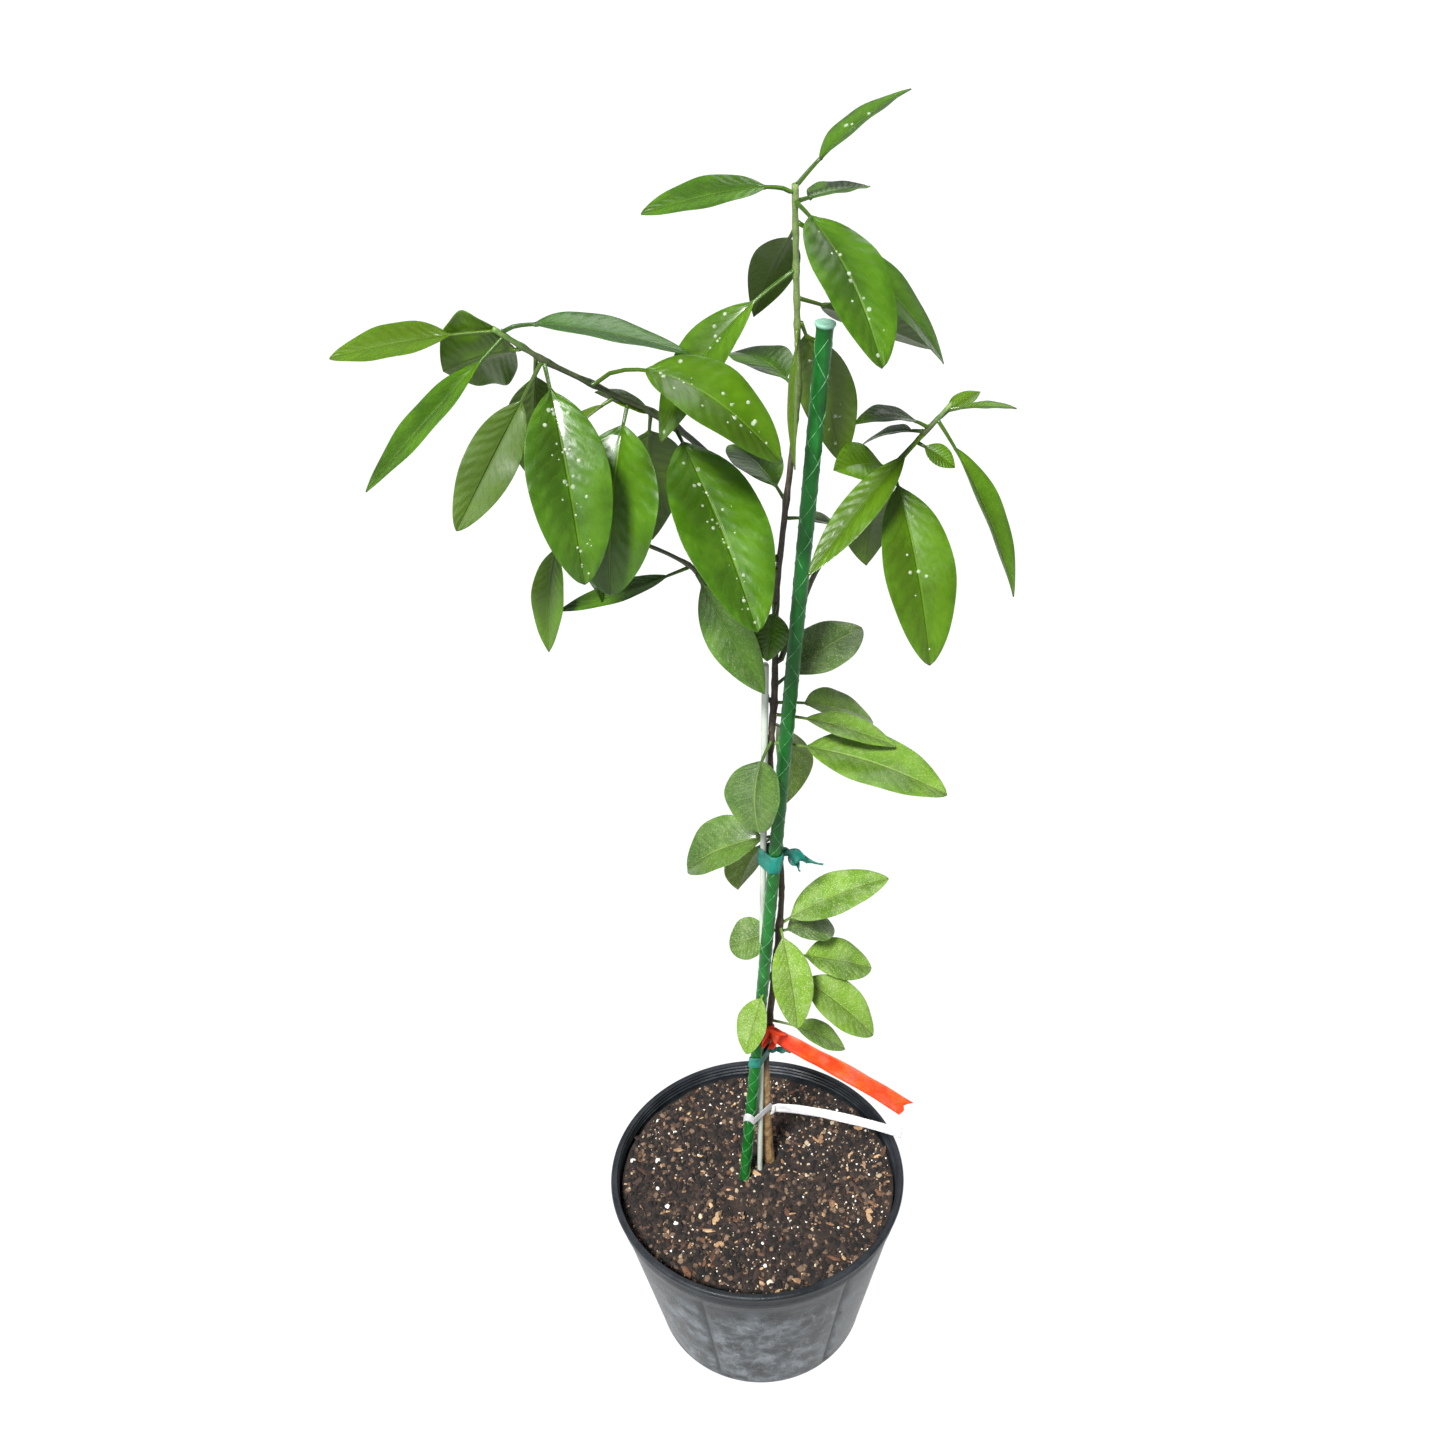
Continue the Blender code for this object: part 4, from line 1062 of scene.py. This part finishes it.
def scatter_tree():
    """Loose bits over a surface: how many, how large, how flat they lie, and a tone for each."""
    tree, given, out = new_group("scatter_bits", "GeometryNodeTree", [
        GEOMETRY, ("Density", FLOAT, 1000.0), ("Seed", WHOLE, 1), ("Detail", WHOLE, 1),
        ("Size", VECTOR, (0.001, 0.001, 0.001)), ("Smallest", FLOAT, 0.5), ("Largest", FLOAT, 1.5),
        ("Tilt", FLOAT, 3.14), ("Lumps", FLOAT, 0.6), ("Lift", FLOAT, 0.0), ("Room", "NodeSocketString", ""),
        ("Finish", MATERIAL)], [GEOMETRY])
    room = add_node(tree, "GeometryNodeInputNamedAttribute", {"Name": given["Room"]}, data_type="FLOAT")
    points = add_node(tree, "GeometryNodeDistributePointsOnFaces", {
        "Mesh": given["Geometry"], "Density": times(tree, given["Density"], room.outputs[0]),
        "Seed": given["Seed"]})
    bit = add_node(tree, "GeometryNodeMeshIcoSphere", {"Radius": 1.0, "Subdivisions": given["Detail"]})
    here = add_node(tree, "GeometryNodeInputPosition").outputs[0]
    lumps = add_node(tree, "ShaderNodeTexNoise", {"Vector": here, "Scale": 1.1}, noise_dimensions="3D")
    shift = add_node(tree, "ShaderNodeVectorMath", {0: lumps.outputs["Color"], 1: (0.5, 0.5, 0.5)},
                     operation="SUBTRACT")
    shift = add_node(tree, "ShaderNodeVectorMath", {0: shift.outputs[0], "Scale": given["Lumps"]},
                     operation="SCALE")
    shaped = add_node(tree, "GeometryNodeSetPosition",
                      {"Geometry": bit.outputs[0], "Offset": shift.outputs[0]})
    tilt = given["Tilt"]
    back = times(tree, tilt, -1.0)
    turn = add_node(tree, "ShaderNodeCombineXYZ", {0: random_number(tree, back, tilt, 11),
                                                   1: random_number(tree, back, tilt, 12),
                                                   2: random_number(tree, -HALF_TURN, HALF_TURN, 13)})
    aligned = add_node(tree, "FunctionNodeRotateRotation",
                       {0: points.outputs["Rotation"], 1: turn.outputs[0]}, rotation_space="LOCAL")
    size = add_node(tree, "ShaderNodeVectorMath",
                    {0: given["Size"], "Scale": random_number(tree, given["Smallest"], given["Largest"], 14)},
                    operation="SCALE")
    placed = add_node(tree, "GeometryNodeInstanceOnPoints", {
        "Points": points.outputs["Points"], "Instance": shaped.outputs[0], "Rotation": aligned.outputs[0],
        "Scale": size.outputs[0]})
    toned = add_node(tree, "GeometryNodeStoreNamedAttribute", {
        "Geometry": placed.outputs[0], "Name": "tone", "Value": random_number(tree, 0.0, 1.0, 15)},
        data_type="FLOAT", domain="INSTANCE")
    lifted = add_node(tree, "GeometryNodeTranslateInstances", {
        "Instances": toned.outputs[0],
        "Translation": add_node(tree, "ShaderNodeCombineXYZ", {2: given["Lift"]}).outputs[0]})
    real = add_node(tree, "GeometryNodeRealizeInstances", {0: lifted.outputs[0]})
    finished = add_node(tree, "GeometryNodeSetMaterial",
                        {"Geometry": real.outputs[0], "Material": given["Finish"]})
    tree.links.new(finished.outputs[0], out["Geometry"])
    return tree


def soil_surface(reach):
    """The soil's top as an open sheet, for bits to lie on."""
    sides = 120
    steps = 34
    points = []
    faces = []
    for step in range(steps + 1):
        points += circle(reach * (step + 0.02) / (steps + 0.02), sides)
    for step in range(steps):
        for side in range(sides):
            near = step * sides + side
            far = step * sides + (side + 1) % sides
            faces.append((near, near + sides, far + sides, far))
    mesh = bpy.data.meshes.new("soil_sheet")
    mesh.from_pydata(points, [], faces)
    return mesh


def room_for(mesh, scale, low, high, seed):
    """Give a sheet patches where bits lie thickly and others where they are few."""
    values = []
    for vertex in mesh.vertices:
        spot = vertex.co * scale + Vector((seed, seed * 2.0, 0.0))
        level = 0.5 + 0.5 * noise.noise(spot)
        away = min((math.hypot(vertex.co.x - x, vertex.co.y - y) / size for x, y, size in SOIL_PITS))
        value = low + (high - low) * min(max((level - 0.25) / 0.5, 0.0), 1.0)
        values.append(value * min(away / 1.3, 1.0) ** 2)
    add_values(mesh, "room", values)


SOIL_BITS = (
    # name, finish, density, detail, size, smallest, largest, tilt, lumps, lift, patches
    ("peat_crumbs", "crumbs", 70000, 1, (0.0026, 0.0019, 0.0014), 0.4, 1.8, 3.1, 0.9, 0.0004, (40, 0.5, 1.0)),
    ("bark_bits", "chips", 15000, 1, (0.0038, 0.0015, 0.0009), 0.4, 1.5, 0.9, 0.9, 0.0014, (35, 0.1, 1.0)),
    ("bark_chips", "chips", 3200, 1, (0.0075, 0.0025, 0.0011), 0.5, 1.5, 0.5, 0.7, 0.0024, (30, 0.1, 1.0)),
    ("fine_grit", "perlite", 34000, 1, (0.0011, 0.0009, 0.0007), 0.5, 1.6, 3.1, 0.9, 0.0016, (20, 0.0, 1.0)),
    ("perlite_grains", "perlite", 1700, 2, (0.0019, 0.0017, 0.0014), 0.5, 1.9, 3.1, 1.0, 0.0018,
     (25, 0.3, 1.0)),
)


def build_soil_bits():
    """Peat, bark, grit and perlite, each scattered over its own sheet of soil surface."""
    tree = scatter_tree()
    for number, row in enumerate(SOIL_BITS):
        name, finish, density, detail, size, small, large, tilt, lumps, lift, patches = row
        sheet = soil_surface(SOIL_RADIUS - 0.002)
        room_for(sheet, *patches, number * 3.7)
        grow(name, sheet, tree, {
            "Density": float(density), "Seed": number + 5, "Detail": detail, "Size": size, "Smallest": small,
            "Largest": large, "Tilt": tilt, "Lumps": lumps, "Lift": lift, "Room": "room",
            "Finish": FINISHES[finish]}, finish, smooth=False)


def build_drops(wet):
    """Water drops on the glossy leaves."""
    tree = bpy.data.node_groups["scatter_bits"]
    for number, (leaf, amount) in enumerate(wet):
        grow(leaf.name.replace("shown_leaf", "drops"), leaf.data, tree, {
            "Density": 30000.0 * amount, "Seed": 31 + number, "Detail": 2, "Size": (0.0009, 0.0009, 0.0006),
            "Smallest": 0.30, "Largest": 1.6, "Tilt": 0.0, "Lumps": 0.25, "Lift": 0.0, "Room": "drop_room",
            "Finish": FINISHES["water"]}, "water")


def lattice_tree():
    """Raised lines that cross as they wind round a stake."""
    tree, given, out = new_group("crossed_lattice", "GeometryNodeTree", [
        GEOMETRY, ("Radius", FLOAT, 0.005), ("Length", FLOAT, 0.5), ("Turns", FLOAT, 10.0),
        ("Line", FLOAT, 0.0003), ("Strands", WHOLE, 2), ("Finish", MATERIAL)], [GEOMETRY])
    steps = add_node(tree, "GeometryNodePoints", {"Count": given["Strands"]})
    share = calc(tree, "DIVIDE", add_node(tree, "GeometryNodeInputIndex").outputs[0], given["Strands"])
    turn = add_node(tree, "ShaderNodeCombineXYZ", {2: times(tree, share, 2 * math.pi)})
    both = tree.nodes.new("GeometryNodeJoinGeometry")
    for reverse in (False, True):
        coil = add_node(tree, "GeometryNodeCurveSpiral", {
            "Resolution": 18, "Rotations": given["Turns"], "Start Radius": given["Radius"],
            "End Radius": given["Radius"], "Height": given["Length"], "Reverse": reverse})
        placed = add_node(tree, "GeometryNodeInstanceOnPoints", {
            "Points": steps.outputs[0], "Instance": coil.outputs[0], "Rotation": turn.outputs[0]})
        tree.links.new(placed.outputs[0], both.inputs[0])
    real = add_node(tree, "GeometryNodeRealizeInstances", {0: both.outputs[0]})
    section = add_node(tree, "GeometryNodeCurvePrimitiveCircle", {"Resolution": 5, "Radius": given["Line"]})
    line = add_node(tree, "GeometryNodeCurveToMesh", {
        "Curve": real.outputs[0], "Profile Curve": section.outputs[0], "Fill Caps": True})
    finished = add_node(tree, "GeometryNodeSetMaterial",
                        {"Geometry": line.outputs[0], "Material": given["Finish"]})
    tree.links.new(finished.outputs[0], out["Geometry"])
    return tree


# ==== Stake, rod, stem and branches ====

def build_stake():
    """The coated stake with its flared, pale cut end, and the lattice wound round it."""
    foot = stake_at(-STAKE_DEPTH)
    top = stake_at(STAKE_HEIGHT)
    length = (top - foot).length
    pose = Matrix.Translation(foot) @ (top - foot).to_track_quat("Z", "Y").to_matrix().to_4x4()
    rows = [(0.0001, 0.0), (STAKE_RADIUS * 0.9, 0.0), (STAKE_RADIUS, 0.0006)]
    rows += [(STAKE_RADIUS, length * step / 40) for step in range(1, 40)]
    rows += [(STAKE_RADIUS, length - 0.0045), (STAKE_RADIUS + 0.0004, length - 0.0026),
             (STAKE_RADIUS + 0.0012, length - 0.0012), (STAKE_RADIUS + 0.0010, length - 0.0002),
             (STAKE_RADIUS, length), (STAKE_RADIUS * 0.55, length - 0.0004), (0.0001, length - 0.0008)]
    rings = []
    ends = []
    for radius, height in rows:
        ring = []
        for _, cosine, sine in full_turn(STAKE_SIDES):
            reach = radius * (1 + 0.012 * noise.noise(Vector((cosine, sine, height * 60))))
            ring.append(Vector((reach * cosine, reach * sine, height)))
            ends.append(1.0 if height > length - 0.0015 else 0.0)
        rings.append(ring)
    mesh = skin_rings("coated_stake", rings)
    add_values(mesh, "cut_end", ends)
    mesh.transform(pose)
    add_piece("coated_stake", mesh, "stake", ("stake",))
    visible = STAKE_HEIGHT + 0.01
    seed = bpy.data.meshes.new("lattice_seed")
    piece = grow("stake_lattice", seed, lattice_tree(), {
        "Radius": STAKE_RADIUS + 0.0001, "Length": visible - 0.008, "Turns": visible / LATTICE_PITCH,
        "Line": 0.00024, "Strands": 2, "Finish": FINISHES["lattice"]}, "lattice")
    piece.data.transform(pose @ Matrix.Translation((0.0, 0.0, length - visible)))


def build_rod():
    foot = rod_at(-ROD_DEPTH)
    top = rod_at(ROD_HEIGHT)
    route = [(*foot, ROD_RADIUS * 0.7)]
    for share in [0.002] + [step / 30 for step in range(1, 30)] + [0.998]:
        route.append((*foot.lerp(top, share), ROD_RADIUS))
    route.append((*top, ROD_RADIUS * 0.7))
    add_piece("fibre_rod", tube("fibre_rod", route, 24, 0.01, 90.0), "rod", ("rod",))


def swollen(route, shares, amount):
    """The route with finer steps and a swelling at each leaf's foot."""
    spots = [point_at(route, share)[0] for share in shares]
    fine = smooth_route(route, 4)
    result = []
    for x, y, z, radius in fine:
        swell = 0.0
        for spot in spots:
            away = (Vector((x, y, z)) - spot).length / SWELLING_REACH
            swell = max(swell, math.exp(-away * away))
        result.append((x, y, z, radius * (1 + amount * swell)))
    return result


def build_stems(routes):
    """The main stem with its root and uneven bark, and the branches."""
    stem = routes["stem"]
    first = Vector(stem[0][:3])
    along = (Vector(stem[1][:3]) - first).normalized()
    route = swollen(stem, [row[0] for row in LEAVES["stem"]], 0.30)
    root = [(*(first - along * ROOT_DEPTH), stem[0][3]), (*(first - along * ROOT_DEPTH / 2), stem[0][3])]
    add_piece("main_stem", tube("main_stem", root + route, 24, 0.22, 260.0), "bark", ("stem",))
    for name in BRANCHES:
        route = swollen(routes[name], [row[0] for row in LEAVES[name]], 0.45)
        start = at_height(stem, BRANCHES[name][0])[0]
        route = [(*start.lerp(Vector(route[0][:3]), 0.3), route[0][3] * 1.4)] + route
        add_piece(f"twig_{name}", tube(f"twig_{name}", route, 16, 0.12, 300.0), "twig",
                  (f"branch_{name}",))


# ==== Ties, tape and label ====

def band_ring(stem, height, tilt, holds, grow_by, drop=0.0):
    """The tight outline round what is held, raised in front by its tilt, lowered on the right by its drop."""
    ring = []
    for _, cosine, sine in full_turn(BAND_SIDES):
        out = Vector((cosine, sine, 0.0))
        level = height - tilt * out.y - drop * out.x
        lines = {"stake": (stake_at(level), STAKE_RADIUS), "rod": (rod_at(level), ROD_RADIUS),
                 "stem": at_height(stem, level)}
        centre, radius = max((lines[name] for name in holds), key=lambda line: line[0].dot(out) + line[1])
        ring.append(centre + out * (radius + grow_by))
    return ring


def band_mesh(name, stem, span, tilt, holds, crease, drop=0.0):
    """A thin closed sleeve round the stems, its film creased."""
    rows = 7
    outer = []
    inner = []
    for row in range(rows):
        share = row / (rows - 1)
        height = span[0] + (span[1] - span[0]) * share
        swell = 0.0008 + crease * (0.4 + 0.6 * math.sin(math.pi * share))
        ring = band_ring(stem, height, tilt, holds, 0.0, drop)
        middle = sum(ring, Vector()) / len(ring)
        loose = []
        tight = []
        for index, point in enumerate(ring):
            out = (point - middle).normalized()
            fold = swell * (0.6 + 0.8 * abs(noise.noise(Vector((index * 0.25, share * 2.0, 0.0)))))
            loose.append(point + out * (fold + BAND_THICKNESS))
            tight.append(point + out * (fold * 0.6))
        outer.append(loose)
        inner.append(tight)
    return skin_rings(name, outer + list(reversed(inner)) + [outer[0]], closed_ends=False)


def ribbon(name, route, widths, thickness, lanes=6, twist=None, tip=None, ripple=0.0):
    """A flat strip along a route; its end can be cut to a shape, given as how far each lane reaches."""
    places = [Vector(point) for point in route]
    rings = []
    for index, (place, width) in enumerate(zip(places, widths)):
        ahead = places[min(index + 1, len(places) - 1)] - places[max(index - 1, 0)]
        tangent = ahead.normalized()
        up = Vector((0.0, 0.0, 1.0))
        if twist is not None:
            up = Matrix.Rotation(math.radians(twist[index]), 3, tangent) @ up
        up = (up - tangent * up.dot(tangent)).normalized()
        face = tangent.cross(up)
        reach = index / (len(places) - 1)
        upper = []
        lower = []
        for lane in range(lanes + 1):
            side = lane / lanes - 0.5
            spot = place + up * side * width
            if tip is not None and reach > 0.85:
                cut = tip[min(lane * len(tip) // (lanes + 1), len(tip) - 1)]
                spot += tangent * cut * (reach - 0.85) / 0.15
            spot += face * ripple * noise.noise(Vector((reach * 9.0, side * 2.5, len(places) * 0.31)))
            upper.append(spot + face * thickness / 2)
            lower.append(spot - face * thickness / 2)
        rings.append(upper + list(reversed(lower)))
    return skin_rings(name, rings)


def join_meshes(name, meshes):
    """Several closed skins as one mesh."""
    points = []
    faces = []
    for mesh in meshes:
        start = len(points)
        points.extend(tuple(vertex.co) for vertex in mesh.vertices)
        faces.extend(tuple(start + index for index in face.vertices) for face in mesh.polygons)
    whole = bpy.data.meshes.new(name)
    whole.from_pydata(points, [], faces)
    return whole


def strip_from(start, shifts, steps=6):
    return smooth_route([tuple(start)] + [tuple(start + Vector(shift)) for shift in shifts], steps)


def build_ties(stem):
    """Teal ties with their knots and short tails."""
    for name, span, tilt, crease in TIES:
        parts = [band_mesh(name, stem, span, tilt, HELD, crease)]
        start = band_ring(stem, (span[0] + span[1]) / 2, tilt, HELD, 0.001)[0]
        parts.append(tube("knot", strip_knot(start, 0.0042), 14, 0.35, 260.0))
        for shifts, (wide, mid, thin) in TIE_TAILS[name]:
            route = strip_from(start, shifts, 5)
            count = len(route) - 1
            widths = [wide + (mid - wide) * min(2 * i / count, 1) + (thin - mid) * max(2 * i / count - 1, 0)
                      for i in range(count + 1)]
            twist = [35 * math.sin(i * 0.6) for i in range(count + 1)]
            parts.append(ribbon("tail", route, widths, FILM_THICKNESS, 5, twist, ripple=0.0015))
        add_piece(f"shown_{name}", join_meshes(name, parts), "teal", (name,))


def strip_knot(start, size):
    """A short thick route for a pulled knot."""
    spots = [(-0.3, 0.1, -0.2, 0.35), (0.1, -0.2, -0.1, 0.75), (0.5, -0.3, 0.1, 0.85), (1.0, -0.4, 0.2, 0.55),
             (1.3, -0.4, 0.3, 0.2)]
    return [(*(start + Vector((x, y, z)) * size), radius * size)
            for x, y, z, radius in smooth_route(spots, 3)]


def build_tape(stem):
    """The marking tape: two turns round the stem, a loop and a long tail with a notched end."""
    parts = [band_mesh("band", stem, TAPE_SPAN, 0.002, ("stem",), 0.0012)]
    middle = at_height(stem, 0.210)[0]
    loop = [(-0.006, -0.012, -0.004), (-0.007, -0.016, 0.010), (0.000, -0.018, 0.016), (0.008, -0.016, 0.006),
            (0.006, -0.012, -0.006), (0.002, -0.008, -0.010)]
    route = strip_from(middle, loop, 5)
    twist = [20 + 50 * i / len(route) for i in range(len(route))]
    parts.append(ribbon("loop", route, [0.013] * len(route), FILM_THICKNESS, 6, twist, ripple=0.001))
    parts.append(tube("knot", strip_knot(middle + Vector((0.003, -0.004, -0.008)), 0.0045), 14, 0.35, 260.0))
    low, high = (band_ring(stem, level, 0.0, ("stem",), 0.0)[0] for level in (0.200, TAPE_SPAN[1]))
    start = (low + high) / 2
    tail = ((0.010, -0.003, -0.010), (0.038, -0.017, -0.018), (0.073, -0.033, -0.030),
            (0.113, -0.049, -0.050))
    route = strip_from(start, tail, 8)
    count = len(route) - 1
    widths = [0.009 + 0.008 * min(i / (0.3 * count), 1.0) for i in range(count + 1)]
    twist = [-8 - 10 * i / count for i in range(count + 1)]
    notch = (-0.001, 0.000, -0.003, -0.001, 0.003)
    parts.append(ribbon("tail", route, widths, FILM_THICKNESS, 8, twist, notch, 0.0015))
    add_piece("shown_marking_tape", join_meshes("marking_tape", parts), "orange",
              ("marking_tape",))


def build_label(stem):
    """The blank wrap label: a loop round everything and a long curling tail."""
    parts = [band_mesh("band", stem, LABEL_SPAN, LABEL_SLOPE, HELD, 0.0006, LABEL_DROP)]
    low, high = (band_ring(stem, level, LABEL_SLOPE, HELD, 0.0008, LABEL_DROP)[0] for level in LABEL_SPAN)
    start = (low + high) / 2
    tail = ((0.010, 0.000, 0.001), (0.040, -0.010, 0.006), (0.080, -0.020, 0.003), (0.118, -0.030, -0.003))
    route = strip_from(start, tail, 8)
    count = len(route) - 1
    widths = [0.0105 - 0.002 * i / count for i in range(count + 1)]
    twist = [-30 * i / count for i in range(count + 1)]
    parts.append(ribbon("tail", route, widths, 0.0005, 6, twist, ripple=0.001))
    clip = [(-0.4, 0.0, -1.3, 0.35), (0.2, -0.1, -0.6, 0.55), (0.3, -0.1, 0.5, 0.55), (0.0, 0.0, 1.1, 0.35)]
    knob = [(*(start + Vector((x, y, z)) * 0.005), r * 0.0035) for x, y, z, r in smooth_route(clip, 4)]
    parts.append(tube("clip", knob, 12, 0.1))
    add_piece("shown_wrap_label", join_meshes("wrap_label", parts), "label", ("wrap_label",))


# ==== Stage ====

FLOOR_REACH = 60
SKY_COLOUR = (0.95, 0.97, 1.0, 1.0)
SKY_LIGHT = 0.30
LAMPS = (
    # name, strength, angular size and turn in degrees
    ("key", 8.0, 12, (36, -16, 0)),
    ("fill", 0.7, 60, (55, -40, 0)),
    ("back", 0.7, 30, (-38, 24, 0)),
)
VIEW_PLACE = (0.0, -0.813, 1.221)
VIEW_TURN = (34.6, -1.2, -2.4)      # pitch down, yaw and roll in degrees
VIEW_LENS = 32.4
VIEW_SHIFT = 0.0363


def build_stage():
    """A pale floor, an even sky and soft lamps."""
    mesh = bpy.data.meshes.new("floor")
    corners = [(x * FLOOR_REACH, y * FLOOR_REACH, 0) for x, y in ((-1, -1), (1, -1), (1, 1), (-1, 1))]
    mesh.from_pydata(corners, [], [(0, 1, 2, 3)])
    floor = bpy.data.objects.new("floor", mesh)
    bpy.context.scene.collection.objects.link(floor)
    mesh.materials.append(floor_finish())
    world = bpy.data.worlds.new("sky")
    world.use_nodes = True
    tree = world.node_tree
    seen = add_node(tree, "ShaderNodeLightPath").outputs["Is Camera Ray"]
    fill_inputs(tree, tree.nodes["Background"], {
        "Color": SKY_COLOUR, "Strength": between(tree, seen, 0.0, 1.0, SKY_LIGHT, 1.0)})
    bpy.context.scene.world = world
    bpy.context.scene.view_settings.view_transform = "Standard"
    for name, strength, angle, turn in LAMPS:
        lamp = bpy.data.lights.new(name, "SUN")
        lamp.energy = strength
        lamp.angle = math.radians(angle)
        thing = bpy.data.objects.new(name, lamp)
        thing.rotation_euler = tuple(math.radians(value) for value in turn)
        bpy.context.scene.collection.objects.link(thing)


def build_camera():
    """A camera that looks down at the whole plant from in front."""
    pitch, yaw, roll = (math.radians(value) for value in VIEW_TURN)
    ahead = Vector((math.sin(yaw) * math.cos(pitch), math.cos(yaw) * math.cos(pitch), -math.sin(pitch)))
    level = Vector((math.cos(yaw), -math.sin(yaw), 0.0))
    upright = level.cross(ahead)
    right = level * math.cos(roll) + upright * math.sin(roll)
    above = upright * math.cos(roll) - level * math.sin(roll)
    data = bpy.data.cameras.new("view")
    data.lens = VIEW_LENS
    data.shift_y = VIEW_SHIFT
    data.clip_end = 200.0
    camera = bpy.data.objects.new("view", data)
    turn = Matrix((right, above, -ahead)).transposed()
    camera.matrix_world = Matrix.Translation(VIEW_PLACE) @ turn.to_4x4()
    bpy.context.scene.collection.objects.link(camera)
    bpy.context.scene.camera = camera


def main():
    build_stage()
    build_camera()
    routes = {"stem": stem_route()}
    for name, plan in BRANCHES.items():
        routes[name] = branch_route(routes["stem"], plan)
    build_pot()
    build_soil()
    build_soil_bits()
    build_stake()
    build_rod()
    build_stems(routes)
    wet = build_leaves(routes)
    build_drops(wet)
    build_ties(routes["stem"])
    build_tape(routes["stem"])
    build_label(routes["stem"])


main()
